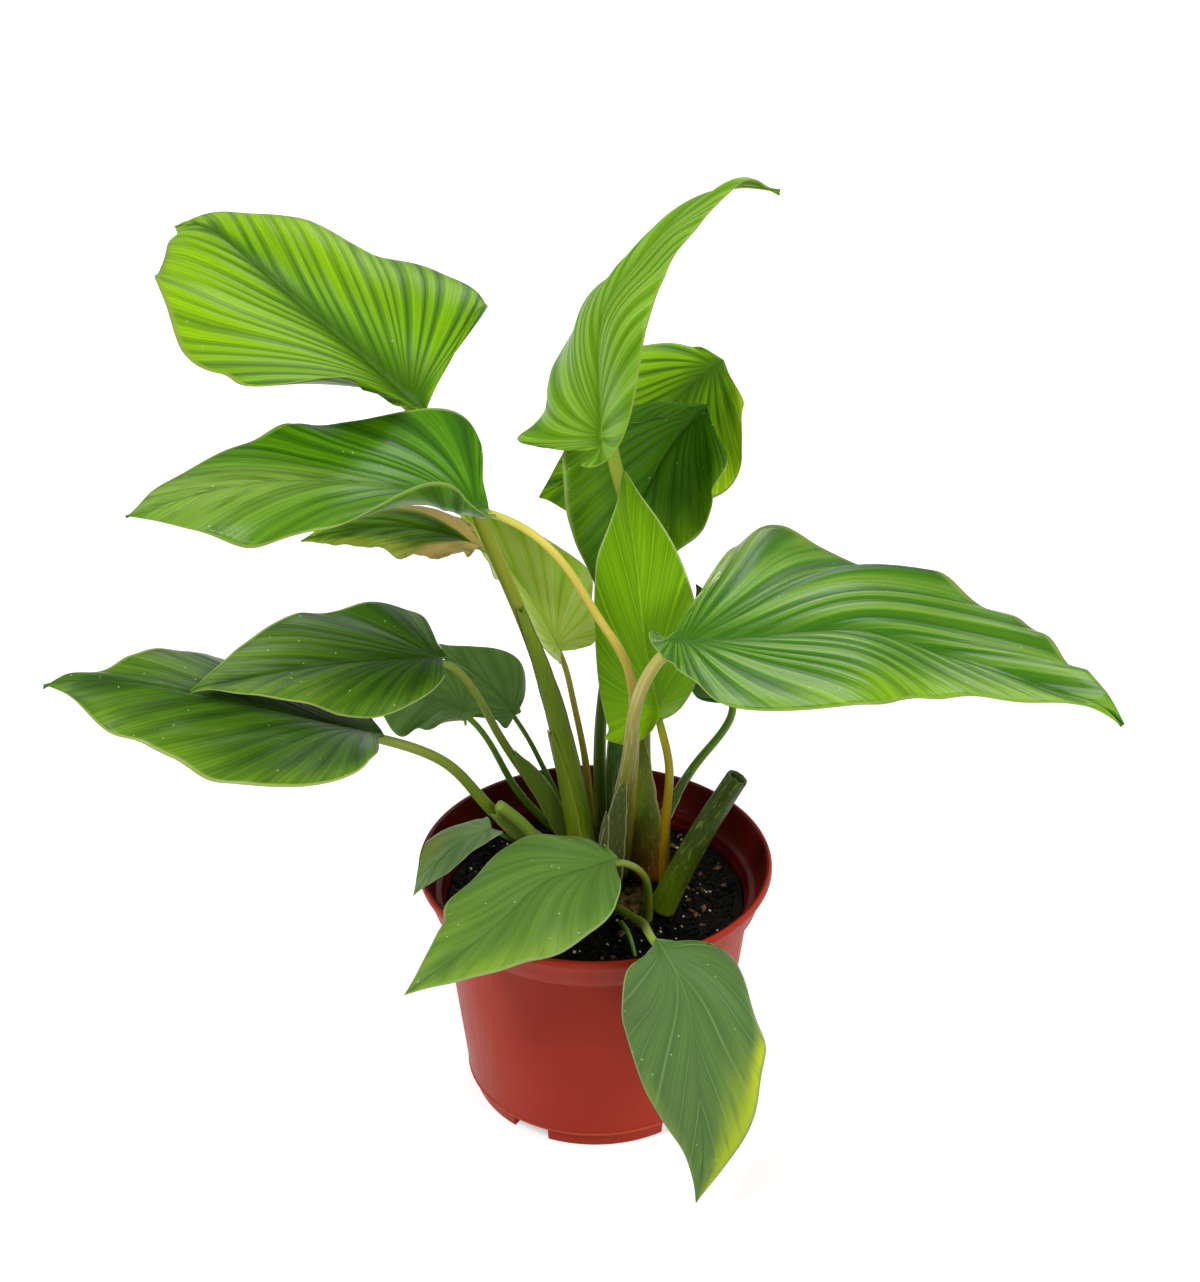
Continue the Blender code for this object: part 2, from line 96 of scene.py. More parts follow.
# Each leaf: its stalk's route from the soil, the route of the midrib from base to tip,
# the blade's full width with each side's share of it, the lobe, the way its upper face
# looks at base, middle and tip as (bearing, elevation) with bearing 0 to the front and
# 90 to the right, and for each side the rise off that face at base and tip and the curl
# out to the margin, in degrees. The left side comes first, as seen on the upper face
# from the base. The midribs of tall_centre and large_right are a few mm off the model's.
LEAVES = {
    "upper_left": dict(
        stalk=[(-5, 22, 104), (-10, 24, 139), (-23, 26, 203), (-38, 27, 249), (-51, 31, 282),
               (-63, 35, 312)],
        midrib=[(-74, 32, 333), (-103, 45, 356), (-130, 58, 375), (-149, 70, 388), (-168, 88, 396),
                (-179, 104, 393), (-187, 118, 383)],
        width=140, sides=(1.05, 1.0), lobe=(-0.1, -0.05),
        face=[(40, 50), (16, 42), (6, 47)], fold=((45, 0), (60, -18)), curl=(10, -90)),
    "mid_left": dict(
        stalk=[(13, 14, 104), (17, -5, 175), (17, -15, 215), (13, -18, 238), (2, -18, 258), (-11, -19, 282),
               (-27, -19, 300)],
        midrib=[(-44, -20, 312), (-71, -26, 322), (-102, -42, 334), (-132, -53, 339), (-165, -64, 336),
                (-183, -76, 335)],
        width=98, sides=(1.05, 0.93), lobe=(-0.03, -0.03),
        face=[(6, 67), (325, 63), (342, 42)], fold=((32, -25), (3, -27)), curl=(34, 4)),
    "withered": dict(
        stalk=[(4, 33, 104), (-12, 35, 146), (-23, 37, 197), (-38, 37, 243)],
        midrib=[(-51, 48, 261), (-75, 44, 271), (-100, 32, 278), (-129, 14, 280)],
        width=48, sides=(1, 1), lobe=(-0.09, -0.09),
        face=[(0, 62), (330, 42), (0, 65)], fold=((26, -4), (-5, -4)), curl=(28, -65)),
    "pale_folded": dict(
        stalk=[(-2, 42, 104), (-5, 48, 147), (-11, 53, 179)],
        midrib=[(-16, 55, 203), (-28, 65, 221), (-41, 76, 237), (-55, 83, 252), (-67, 86, 263)],
        width=63, sides=(1.09, 0.92), lobe=(0.05, 0.05),
        face=[(42, 19), (38, -18), (44, 10)], fold=((36, 52), (-13, 6)), curl=(34, 14)),
    "tall_centre": dict(
        stalk=[(26, 14, 104), (21, 18, 143), (21, 24, 194), (20, 28, 244), (16, 28, 284)],
        midrib=[(4, 24, 320), (2, 26, 354), (5, 32, 381), (17, 42, 396), (31, 54, 408), (46, 62, 418),
                (63, 68, 425), (79, 70, 421)],
        width=96, sides=(1.18, 0.85), lobe=(0.01, 0.01),
        face=[(313, 32), (308, 21), (276, 21)], fold=((48, -13), (48, 5)), curl=(-80, -35)),
    "young_centre": dict(
        stalk=[(33, -2, 104), (32, -6, 133), (33, -8, 159), (33, -9, 182)],
        midrib=[(29, -6, 202), (22, 5, 235), (18, 14, 271), (14, 16, 299), (13, 14, 314)],
        width=61, sides=(0.95, 1.05), lobe=(0.04, 0.09),
        face=[(205, 50), (184, -8), (165, -13)], fold=((40, 16), (40, 30)), curl=(-28, 10)),
    "back_right": dict(
        stalk=[(3, 52, 103), (2, 62, 138), (4, 72, 171), (14, 92, 210), (35, 113, 254), (56, 122, 302)],
        midrib=[(60, 114, 326), (42, 106, 314), (26, 99, 299), (2, 92, 283), (-27, 90, 266)],
        width=82, sides=(1.1, 0.9), lobe=(-0.05, -0.05),
        face=[(40, 55), (30, 44), (0, 30)], fold=((12, 8), (4, 6)), curl=(0, -30)),
    "back_dark": dict(
        stalk=[(9, 44, 104), (8, 52, 138), (11, 56, 175), (21, 61, 226), (39, 65, 276), (48, 65, 311)],
        midrib=[(50, 62, 324), (39, 64, 311), (22, 58, 282), (11, 54, 258), (1, 54, 235)],
        width=104, sides=(0.8, 1.1), lobe=(-0.04, -0.07),
        face=[(5, 16), (12, 21), (2, 25)], fold=((34, 28), (18, 28)), curl=(8, 8)),
    "large_right": dict(
        stalk=[(6, 2, 104), (12, -14, 163), (16, -24, 201), (20, -30, 230)],
        midrib=[(30, -28, 254), (72, -28, 256), (115, -24, 256), (148, -28, 247), (180, -46, 244),
                (216, -78, 244)],
        width=134, sides=(1.15, 0.88), lobe=(-0.13, -0.04),
        face=[(0, 66), (0, 62), (0, 57)], fold=((-6, -7), (23, 22)), curl=(-25, -1)),
    "hidden_right": dict(
        stalk=[(24, 30, 104), (37, 38, 129), (50, 46, 148)],
        midrib=[(67, 55, 172), (62, 58, 196), (55, 64, 214), (48, 70, 230)],
        width=48, sides=(1, 1), lobe=(0.05, 0.05),
        face=[(20, 40), (20, 40), (20, 40)], fold=((8, 5), (8, 5)), curl=(-10, -10)),
    "low_left": dict(
        stalk=[(-12, 34, 104), (-24, 28, 135), (-36, 22, 160), (-46, 16, 183), (-56, 12, 207)],
        midrib=[(-66, 9, 225), (-99, 2, 227), (-127, -12, 231), (-146, -29, 236), (-170, -52, 243)],
        width=70, sides=(1, 1), lobe=(-0.05, -0.05),
        face=[(350, 87), (342, 59), (337, 64)], fold=((28, 8), (9, 7)), curl=(-48, -9)),
    "far_left": dict(
        stalk=[(-16, 22, 104), (-31, 12, 125), (-49, 2, 149), (-66, -8, 178)],
        midrib=[(-93, -20, 202), (-112, -23, 208), (-132, -30, 218), (-165, -44, 235), (-200, -54, 248),
                (-229, -56, 249)],
        width=103, sides=(1.14, 0.88), lobe=(-0.05, -0.05),
        face=[(18, 74), (9, 60), (0, 62)], fold=((40, -11), (-18, -16)), curl=(2, -31)),
    "small_left": dict(
        stalk=[(-14, 45, 104), (-27, 40, 120), (-41, 34, 145), (-50, 31, 167)],
        midrib=[(-60, 28, 185), (-72, 26, 192), (-85, 22, 196), (-102, 16, 198)],
        width=44, sides=(1, 1), lobe=(0.03, 0.03),
        face=[(350, 65), (350, 60), (350, 60)], fold=((8, 4), (8, 4)), curl=(-10, -10)),
    "grey_left": dict(
        stalk=[(-12, 54, 104), (-19, 57, 121), (-26, 60, 136), (-33, 63, 150)],
        midrib=[(-39, 62, 163), (-48, 60, 178), (-60, 58, 191), (-73, 55, 206)],
        width=40, sides=(1, 1), lobe=(0.04, 0.04),
        face=[(20, 30), (20, 30), (20, 30)], fold=((6, 4), (6, 4)), curl=(-10, -10)),
    "rim_left": dict(
        stalk=[(-22, 34, 104), (-31, 20, 118), (-41, 8, 128)],
        midrib=[(-48, 0, 139), (-61, -10, 139), (-72, -22, 135), (-82, -32, 125)],
        width=30, sides=(1, 1), lobe=(0.03, 0.03),
        face=[(340, 60), (340, 55), (340, 50)], fold=((20, 6), (12, 6)), curl=(-10, -10)),
    "front_left": dict(
        stalk=[(24, -23, 104), (24, -30, 125), (19, -41, 144)],
        midrib=[(10, -50, 157), (-2, -53, 154), (-22, -62, 152), (-41, -76, 141), (-62, -95, 134),
                (-79, -108, 127)],
        width=73, sides=(1.11, 0.9), lobe=(-0.03, -0.03),
        face=[(352, 81), (321, 31), (325, 47)], fold=((33, 8), (-12, 9)), curl=(-20, -25)),
    "front_hanging": dict(
        stalk=[(4, -13, 105), (9, -24, 111), (17, -44, 120), (22, -64, 130)],
        midrib=[(27, -82, 136), (40, -94, 112), (43, -101, 92), (47, -108, 55), (48, -112, 16)],
        width=67, sides=(1.1, 0.88), lobe=(-0.08, -0.02),
        face=[(10, 88), (355, 22), (333, 31)], fold=((6, 12), (6, -9)), curl=(-48, -14)),
}

# Cut-off stalks and the thin sprout: route, radii at foot and top, and the depth of
# the hollow in the cut end.
STUBS = {
    "cut_stub_right": dict(
        route=[(31, -14, 104), (46, -14, 140), (64, -15, 176)], radii=(6.5, 5.0), hollow=14),
    "cut_stub_left": dict(
        route=[(-22, 10, 104), (-30, 3, 134), (-44, -4, 154)], radii=(3.6, 2.6), hollow=0),
    "sprout": dict(
        route=[(12, -26, 104), (15, -38, 107), (18, -54, 106)], radii=(1.4, 0.8), hollow=0),
}

STALK_STEPS, RIB_STEPS = 60, 50  # steps along a stalk, and along the rib under its blade
RIB_FROM, RIB_TO, RIB_POINTS = 0.04, 0.97, 9  # the rib's stretch of the midrib
RIB_SHARE, RIB_END_R = 0.8, 0.35  # its radius: share of the stalk's at its foot, mm at its end
STALK_SIDES = 16
END_SIZE, END_STEP, END_REACH = 0.6, 0.3, 0.4  # of a rounded end's ring and tip, by the radius
HOLLOW_LIP, HOLLOW_FLOOR = 0.72, 0.45  # a cut stalk's hollow, by the radius
STALK_SMOOTHING = 6  # passes that even out a stalk's radii
SHEATH_THICK, SHEATH_GAP = 0.6, 0.35  # mm, and how far a sheath stays off its stalk
SHEATH_ACROSS = 14  # quads from a sheath's middle to its edge
SHEATH_TAPER, SHEATH_FLARE, SHEATH_POINT = 0.75, 1.2, 2.5  # at its top: share lost, then mm
STUB_SIDES, STUB_GROOVE = 48, 4.2  # a cut stalk's sides, and its groove's angle in radians

LEAF_THICK = 0.5  # a real blade's thickness; the solid model's is a little thicker
MIDRIB_STEPS = 200
ROWS, ACROSS = 10, 20  # quads to each vein's spacing, and from the midrib to the margin
VEIN_FAN = 0.62  # share of the side veins that fan out near the base
VEIN_CROWD = 1.8  # how much closer together the others leave the midrib near its base
VEIN_SWEEP, VEIN_SPREAD = (0.3, 0.5), (0.72, 0.52)  # where a side vein bends: along, and out
VEIN_TURN = 0.55  # the margin's share over which the first of these bends becomes the second

LEAD_FROM, HOOK_FROM = 0.8, 0.93  # shares of the midrib past which the tip is led, and hooked
CHANNEL_WIDE = 2.5  # mm from the midrib to the side of its channel
RIPPLE_TURN = 47  # radians of ripple along a margin
PLEAT_WIDE = 6  # mm between side veins from which pleats have their full height

# Colours of each kind of leaf, those of its underside starting with under. line: how
# wide the dark of a vein is, in half spacings; heart: how strong and how wide the dark
# along the midrib is; some: the levels of the streak noise between which the bands come
# in, and least: how much of them shows below those; rib_share: how strong the rib's
# colour is; flecks: share of the cells with a pale dot; veinlets: how dark the fine
# lines between the veins are; gloss: the specular level.
VEINLETS, LEAF_GLOSS = 0.3, 0.24  # where a look has none of its own
LOOKS = {
    "bright": dict(
        green="#7AAA0E", deep="#628F1A", light="#94C204", vein="#4A7224", line=0.24, heart=(0.75, 0.34),
        gloss=0.14, rib="#44702A", rib_share=0.4, margin="#93A845", some=(0.28, 0.6), least=0.2,
        flecks=0.04, roughness=0.38, under="#A0C838", under_light="#B2D44C", under_vein="#C6DC72"),
    "glossy": dict(
        green="#3F7600", deep="#326602", light="#528C04", vein="#28560A", line=0.18, heart=(0.3, 0.25),
        rib="#34680E", rib_share=0.5, margin="#8FA848", some=(0.3, 0.6), least=0.2, flecks=0.08,
        roughness=0.32, under="#7CA22A", under_light="#92B63A", under_vein="#A9C452"),
    "dark": dict(
        green="#3C6211", deep="#30520F", light="#4B7813", vein="#254811", line=0.16, heart=(0.3, 0.3),
        rib="#30561A", rib_share=0.5, margin="#A2B460", some=(0.3, 0.6), least=0.2, flecks=0.3,
        roughness=0.38, under="#4E7A26", under_light="#628E34", under_vein="#84A44C"),
    "plain": dict(
        green="#5A7F30", deep="#547A2C", light="#648A36", vein="#4E752C", line=0.1, heart=(0.1, 0.2),
        veinlets=0.12, rib="#4A6E2C", rib_share=0.5, margin="#93A866", some=(0.3, 0.6), least=0.3,
        flecks=0.3, roughness=0.46, under="#64883A", under_light="#749848", under_vein="#8FAC60"),
    "young": dict(
        green="#6EA000", deep="#659800", light="#74A602", vein="#7FB004", line=0.1, heart=(0.0, 0.2),
        gloss=0.1, rib="#9CC020", rib_share=0.8, margin="#C2D27C", some=(0.3, 0.6), least=0.3, flecks=0.02,
        roughness=0.4, under="#72A002", under_light="#82AE06", under_vein="#A4C024"),
}

# Each leaf's look, side veins to each half, and relief in mm: pleats between the veins,
# ripples of the margin, the channel over the midrib and the hook of the tip. Each wave
# of a margin is (half, middle, span, shift, sharpness): half 0 is the left and 1 the
# right, then come its place and reach along the margin from base to tip, how far it
# moves the margin in mm to the right, back and up, and how near the margin it stays.
# tip moves the tip the same way, and crumple gives each half its wrinkles' height in mm.
# Each patch is (side, from, to, start, full, colour, share, ragged): side 1 is the right
# half, -1 the left and 0 both, from and to lie between base and tip, start and full
# between midrib and margin, share says how strong it is at most, and ragged how far the
# streaks break it up. own holds values that differ from the look's. join is the midrib's
# share at which the stalk meets it, rib the rib's radius as a share of the stalk's top,
# and rib_side -1 puts both on the upper side.
DETAILS = {
    "upper_left": dict(
        look="bright", veins=28,
        own=dict(green="#6A9C0A", deep="#4C7C0F", light="#86BA04", vein="#356012", line=0.22, least=0.4),
        pleat=0.6, ripple=0.3, channel=1.4, hook=0, tip=(-5, 0, 6),
        waves=[(1, 0.3, 0.08, (3, 0, 9), 2.5), (1, 0.27, 0.12, (-4, 0, 0), 1.6),
               (1, 0.4, 0.06, (-1, 0, 3), 3), (1, 0.58, 0.16, (0, 0, -9), 1.6),
               (1, 0.76, 0.08, (0, 0, -1), 1.6), (0, 0.46, 0.05, (-8, 0, -4), 1.6),
               (0, 0.37, 0.08, (0, 0, 5), 1.6), (0, 0.12, 0.1, (0, 0, -4), 1.6),
               (0, 0.55, 0.12, (-4, 0, -6), 1.6), (0, 0.7, 0.05, (-1, 0, 4), 3),
               (0, 0.8, 0.1, (4, 0, 0), 1.6), (0, 0.9, 0.1, (1, 0, 3), 1.6)],
        patches=[(0, 0.45, 1.3, 0.2, 1, "#A4D408", 0.6, 0.8)]),
    "mid_left": dict(
        look="glossy", veins=18,
        # Its own under and under_light are lighter than the underside is: painted light, for light through
        # the upturned margin that faces down into shade.
        own=dict(green="#447A06", deep="#346604", light="#609A12", vein="#2A5809", under="#C8EC5C",
                 under_light="#D8F478"), pleat=0.6, ripple=0.3, channel=1.2, hook=1,
        waves=[(1, 0.4, 0.08, (0, 0, 6), 1.6), (1, 0.6, 0.1, (0, 0, 5), 1.6),
               (1, 0.75, 0.12, (0, 0, 1), 1.6), (1, 0.88, 0.12, (-3, 0, 0), 1.6),
               (0, 0.75, 0.12, (0, 0, -4), 1.6), (0, 0.6, 0.04, (0, 0, -1), 3),
               (0, 0.45, 0.16, (0, 0, -4), 1.6), (0, 0.48, 0.12, (-2, -4, 15), 4)],
        patches=[(0, 0.72, 1.3, -1, 0.3, "#94B450", 0.7, 0.85),
                 (-1, 0.4, 1.2, 0.3, 1, "#6C9A1A", 0.6, 0.85)]),
    "withered": dict(
        look="dark", veins=10, pleat=0.4, ripple=0.3, channel=0.6, hook=0, crumple=(0.5, 0.3),
        own=dict(green="#456E0C", deep="#3A6208", light="#5A8614", vein="#30520A", gloss=0.04),
        waves=[(0, 0.62, 0.06, (0, 0, -4), 1.6), (0, 0.4, 0.08, (0, 0, 4), 1.6)],
        # The tan #D4B86A is the dead part's own colour, made lighter to paint light where mid_left's leaf
        # shades it.
        patches=[(0, 0.5, 1.2, 0.5, 1, "#AFC040", 0.8, 0.5), (0, -0.4, 0.7, -0.5, -0.1, "#D4B86A", 1, 0.2),
                 (0, -0.1, 0.7, 0.1, 0.9, "#8E6E30", 0.7, 0.95)]),
    "pale_folded": dict(
        look="young", veins=12,
        # The #F4FAD4 patch on the left is a painted highlight, the glossy strip on the folded half. The own
        # colours are the leaf's pale lime made brighter still: painted light, for the light that shines
        # through it in shade.
        patches=[(-1, 0.05, 0.85, 0.3, 0.8, "#F4FAD4", 0.75, 0.8),
                 (1, 0.3, 1.2, 0.6, 1, "#84B41C", 0.5, 0.95)],
        own=dict(green="#DCF868", deep="#CCEE54", light="#E8FC90", vein="#B0DA3E", under="#E0F090",
                 under_light="#F4FAC8", under_vein="#F4FAD4"), pleat=0.4, ripple=0.3, channel=0.8, hook=1,
        waves=[(1, 0.52, 0.1, (6, 0, 0), 1.6), (0, 0.45, 0.16, (-7, 0, -1), 1.6)]),
    "tall_centre": dict(
        look="bright", veins=20,
        own=dict(green="#76AA1C", deep="#66990E", light="#9CC84C", vein="#568812", line=0.22,
                 heart=(0.2, 0.2), rib="#A2C456", rib_share=0.8), pleat=0.5, ripple=0.3, channel=1.2,
        hook=2, tip=(1, 0, -2),
        waves=[(0, 0.95, 0.09, (0, 0, -3), 0.8), (1, 0.95, 0.09, (0, 0, 3), 0.8),
               (0, 0.52, 0.2, (22, 0, 0), 1), (0, 0.52, 0.2, (-9, 0, 0), 4), (0, 0.7, 0.17, (13, 0, -7), 1),
               (0, 0.3, 0.05, (-5, 0, 0), 3), (0, 0.38, 0.06, (6, 0, 0), 1.6),
               (1, 0.5, 0.08, (2, 0, 0), 1.6), (1, 0.6, 0.08, (-3, 0, 0), 1.6),
               (1, 0.27, 0.18, (-13, -3, 6), 1.6)]),
    "young_centre": dict(
        look="young", veins=11, rib=0.3, rib_side=-1,
        # The #98CC0C patch over the lower part is painted light: it brightens the part that large_right's
        # leaf shades.
        patches=[(0, -0.5, 0.5, -1, -0.5, "#98CC0C", 0.7, 0.6)],
        own=dict(green="#6CA008", deep="#62980A", light="#7AAE0C", vein="#8CBC10", under="#6A9C02",
                 under_light="#78A802", under_vein="#9CC01E"), pleat=0.2, ripple=0.2, channel=0.6, hook=1,
        waves=[(1, 0.53, 0.16, (3.5, 0, 0), 1.6), (1, 0.3, 0.08, (-7, 0, 3), 1.6),
               (1, 0.85, 0.15, (2.5, 0, 0), 1.6), (0, 0.25, 0.25, (-11, 0, 0), 1.6)]),
    "back_right": dict(
        look="bright", join=0.06, veins=16, pleat=0.4, ripple=0.3, channel=1.0, hook=3,
        own=dict(green="#7CAE0C", deep="#588C0E", light="#94C814", vein="#3C6C0F", heart=(0.6, 0.3)),
        waves=[(0, 0.36, 0.16, (-8, 0, 0), 1.6), (0, 0.52, 0.1, (0, 0, -6), 1.6),
               (1, 0.33, 0.22, (0, 0, -12), 1.6), (0, 0.88, 0.12, (0, 0, -6), 1.6)],
        # Both patches are painted light: they brighten the sides of the blade that lie in shade.
        patches=[(-1, 0.05, 0.95, 0.4, 0.85, "#BCEA18", 1, 0.7),
                 (1, 0.1, 0.95, 0.6, 1, "#94C80C", 0.8, 0.8)]),
    "back_dark": dict(
        look="dark", join=0.06, veins=16, pleat=0.4, ripple=0.3, channel=1.0, hook=1,
        own=dict(green="#457A08", deep="#3C6E08", light="#528808", vein="#2E5E0C", line=0.14,
                 heart=(0.1, 0.2)),
        waves=[(1, 0.34, 0.32, (0, 0, -24), 1.6), (1, 0.12, 0.1, (0, 0, -4), 1),
               (0, 0.44, 0.2, (-11, 0, 0), 1.6)], patches=[(0, 0.25, 0.95, 0.45, 1, "#7CB204", 0.8, 0.9)]),
    "large_right": dict(
        look="glossy", join=0.04, veins=19, pleat=0.9, ripple=0.3, channel=1.4, hook=8,
        # Its own light is a greyish pale green, partly a painted sheen along the bands.
        own=dict(green="#4C860E", deep="#37690F", light="#7EA838", vein="#2B5C10", line=0.2, roughness=0.3,
                 gloss=0.28), tip=(0, 0, 4),
        waves=[(0, 0.16, 0.12, (-8, 0, 0), 1.6), (0, 0.46, 0.05, (0, 0, 7), 3),
               (0, 0.55, 0.08, (0, 0, -14), 2), (0, 0.66, 0.06, (0, 0, -10), 2),
               (0, 0.73, 0.07, (0, 0, -6), 2), (0, 0.82, 0.07, (0, 0, -8), 2),
               (1, 0.045, 0.06, (-7, -5, 9.5), 1), (1, 0.1, 0.07, (-11, -6, 9), 1),
               (1, 0.17, 0.08, (-9, -5, 7.5), 1), (1, 0.25, 0.09, (-4, -3, 7.5), 1),
               (1, 0.33, 0.09, (3.5, 0, 5), 1), (1, 0.62, 0.1, (0, 0, 4), 1.6),
               (1, 0.75, 0.15, (0, 0, 5), 1.6), (1, 0.9, 0.12, (0, 0, 3), 1.6)],
        # The pale #E8F4A4 patch on the left half is a painted highlight: the silvery white sheen there.
        patches=[(1, 0.3, 1.2, 0.6, 1, "#8CBE0A", 0.85, 0.7), (0, 0.7, 1.2, 0.3, 1, "#7FAE18", 0.6, 0.9),
                 (-1, 0.1, 0.5, 0.35, 1, "#E8F4A4", 0.9, 0.95)]),
    "hidden_right": dict(
        look="dark", veins=8, pleat=0.5, ripple=0.2, channel=0.6, hook=1,
        waves=[(0, 0.4, 0.45, (0, 0, 9), 1), (0, 0.22, 0.3, (0, 0, 7), 1), (1, 0.4, 0.45, (0, 0, 9), 1)]),
    "low_left": dict(
        join=0.04, look="dark", veins=16, pleat=0.3, ripple=0.3, channel=1.0, hook=2,
        waves=[(1, 0.44, 0.05, (0, 0, 2), 2), (1, 0.51, 0.06, (0, 0, -4), 2),
               (0, 0.25, 0.12, (3, 0, 0), 1.6)],
        patches=[(0, 0.55, 1.2, 0.25, 1, "#769F22", 0.6, 0.95),
                 (-1, 0.1, 1.1, 0.6, 1, "#6A9618", 0.55, 0.95)]),
    "far_left": dict(
        join=0.04, look="dark", veins=16, pleat=0.3, ripple=0.3, channel=1.0, hook=4, tip=(-2, 0, 0),
        waves=[(1, 0.88, 0.08, (0, 0, -4), 1.6), (1, 0.72, 0.08, (0, 0, 2), 1.6),
               (0, 0.85, 0.1, (0, 0, -6), 1.6), (0, 0.64, 0.06, (0, 0, -3), 1.6)],
        patches=[(0, 0.6, 1.2, 0.35, 1, "#6C961E", 0.6, 0.95),
                 (-1, 0.15, 1.1, 0.72, 1, "#7AA61A", 0.55, 0.95)]),
    "small_left": dict(
        join=0.04, look="plain", veins=10,
        own=dict(green="#64883E", deep="#5A7E34", light="#6E9246", vein="#587C38", line=0.06), pleat=0.3,
        ripple=0.2, channel=0.6, hook=1,
        waves=[(0, 0.38, 0.26, (0, 0, 14), 1.6), (0, 0.82, 0.2, (0, 0, -12), 1.6)]),
    "grey_left": dict(
        join=0.04, look="plain", veins=10,
        own=dict(green="#7EA85C", deep="#729C50", light="#88B064", vein="#6C9850", line=0.06), pleat=0.3,
        ripple=0.2, channel=0.6, hook=1,
        waves=[(1, 0.3, 0.27, (-10, 0, 0), 1.6), (0, 0.35, 0.22, (0, 0, 13), 1.6)]),
    "rim_left": dict(
        join=0.04, look="plain", veins=9, pleat=0.3, ripple=0.2, channel=0.4, hook=0, tip=(-0.5, 0, -1.5),
        own=dict(green="#7C9C60", deep="#729256", light="#86A668", vein="#6A8A4E"),
        waves=[(1, 0.42, 0.3, (0, 0, -8.5), 1.6), (0, 0.42, 0.35, (-3, 0, 5), 1.6)],
        patches=[(1, 0.5, 0.95, 0.3, 0.8, "#94A84C", 0.8, 0.85)]),
    "front_left": dict(
        join=0.04, look="plain", veins=14, pleat=0.2, ripple=0.2, channel=0.8, hook=0, tip=(-1.5, 0, -1),
        waves=[(1, 0.3, 0.12, (0, 0, -6), 1.6), (1, 0.45, 0.04, (0, 0, 2), 1.6),
               (1, 0.65, 0.1, (-4.5, 0, 0), 1.6), (0, 0.58, 0.12, (1, 0, -2.5), 1.6)],
        patches=[(0, 0.6, 1.2, 0.4, 1, "#7FA432", 0.6, 0.85), (-1, 0.4, 1.1, 0.7, 1, "#8AAC34", 0.7, 0.85)]),
    "front_hanging": dict(
        look="plain", veins=10, pleat=0.2, ripple=0.2, channel=0.9, hook=0,
        own=dict(green="#547638", deep="#4C6E34", light="#5A7D3A", vein="#6E8E4E", line=0.08, rib="#7C9A40",
                 rib_share=0.4), tip=(-3, 0, -3),
        waves=[(0, 0.2, 0.12, (1, 0, -4), 1), (0, 0.3, 0.07, (4, 0, -4), 1.6),
               (0, 0.36, 0.1, (-3, 0, -6), 1.6), (0, 0.47, 0.1, (-7, 0, 0), 1.6),
               (0, 0.73, 0.12, (1.5, 0, 0), 1.6), (1, 0.7, 0.2, (-2.2, 0, 0), 1.6)],
        patches=[(-1, 0.42, 1.05, 0.8, 0.98, "#C4D21E", 1, 0.8),
                 (-1, 0.6, 1.05, 0.45, 1, "#A0B624", 0.85, 0.9),
                 (1, 0.6, 1.0, 0.8, 1, "#8AA83C", 0.6, 0.85), (0, -0.6, 0.5, 0.32, 0, "#3A661A", 0.7, 0.3)]),
}

# Each stalk's colours at its foot, middle and top, the rib under the blade, then the
# streaks' colour and how strongly they show.
SKINS = {
    "green": ("#6E7C0E", "#80921A", "#A0A82C", "#9AB83A", "#A6A840", 0.35),
    "olive": ("#5A4A08", "#6E7A14", "#8C9C2C", "#A0B838", "#8C7A2A", 0.4),
    "dark": ("#5A6A18", "#5E8A22", "#6E9C34", "#7E9E3A", "#8A9448", 0.3),
    "leafy": ("#66760E", "#6A8018", "#86943A", "#8CA63A", "#9AA050", 0.35),
    "tan": ("#6A6A10", "#A08A26", "#E2CE56", "#B8C050", "#F2E69A", 0.5),
    "corky": ("#2A3408", "#565C18", "#C2B45C", "#A9BC50", "#DCD6B0", 0.8),
    "orange": ("#6E4E04", "#8E6E08", "#A79A16", "#86AA20", "#C9B030", 0.4),
    "cut": ("#5E7408", "#485C08", "#30400A", "#30400A", "#7E9A34", 0.5),
}
# Each stalk's skin and its radii in mm, evenly spaced from the foot to the blade.
STALKS = {
    "upper_left": ("green", (6.2, 4.1, 3.3, 3.1, 2.9)),
    "mid_left": ("tan", (3.6, 2.7, 2.1, 1.8, 1.7)),
    "withered": ("olive", (2.0, 1.6, 1.4, 1.3, 1.2)),
    "pale_folded": ("tan", (2.6, 2.0, 1.6, 1.5, 1.4)),
    "tall_centre": ("olive", (8.6, 5.6, 3.6, 3.2, 3.0)),
    "young_centre": ("orange", (3.4, 2.5, 2.1, 1.9, 1.8)),
    "back_right": ("dark", (3.6, 2.8, 2.3, 2.0, 1.9)),
    "back_dark": ("dark", (3.6, 2.8, 2.3, 2.0, 1.9)),
    "large_right": ("corky", (6.6, 5.4, 3.4, 2.8, 2.7)),
    "hidden_right": ("dark", (3.2, 2.6, 2.2, 2.0, 1.9)),
    "low_left": ("leafy", (3.6, 2.6, 2.1, 1.8, 1.7)),
    "far_left": ("leafy", (4.0, 3.2, 2.6, 2.4, 2.2)),
    "small_left": ("dark", (2.8, 2.0, 1.7, 1.5, 1.4)),
    "grey_left": ("dark", (1.9, 1.5, 1.3, 1.2, 1.2)),
    "rim_left": ("dark", (2.0, 1.5, 1.2, 1.1, 1.0)),
    "front_left": ("leafy", (2.6, 2.0, 1.7, 1.6, 1.5)),
    "front_hanging": ("leafy", (2.8, 2.2, 2.0, 1.9, 1.8)),
}
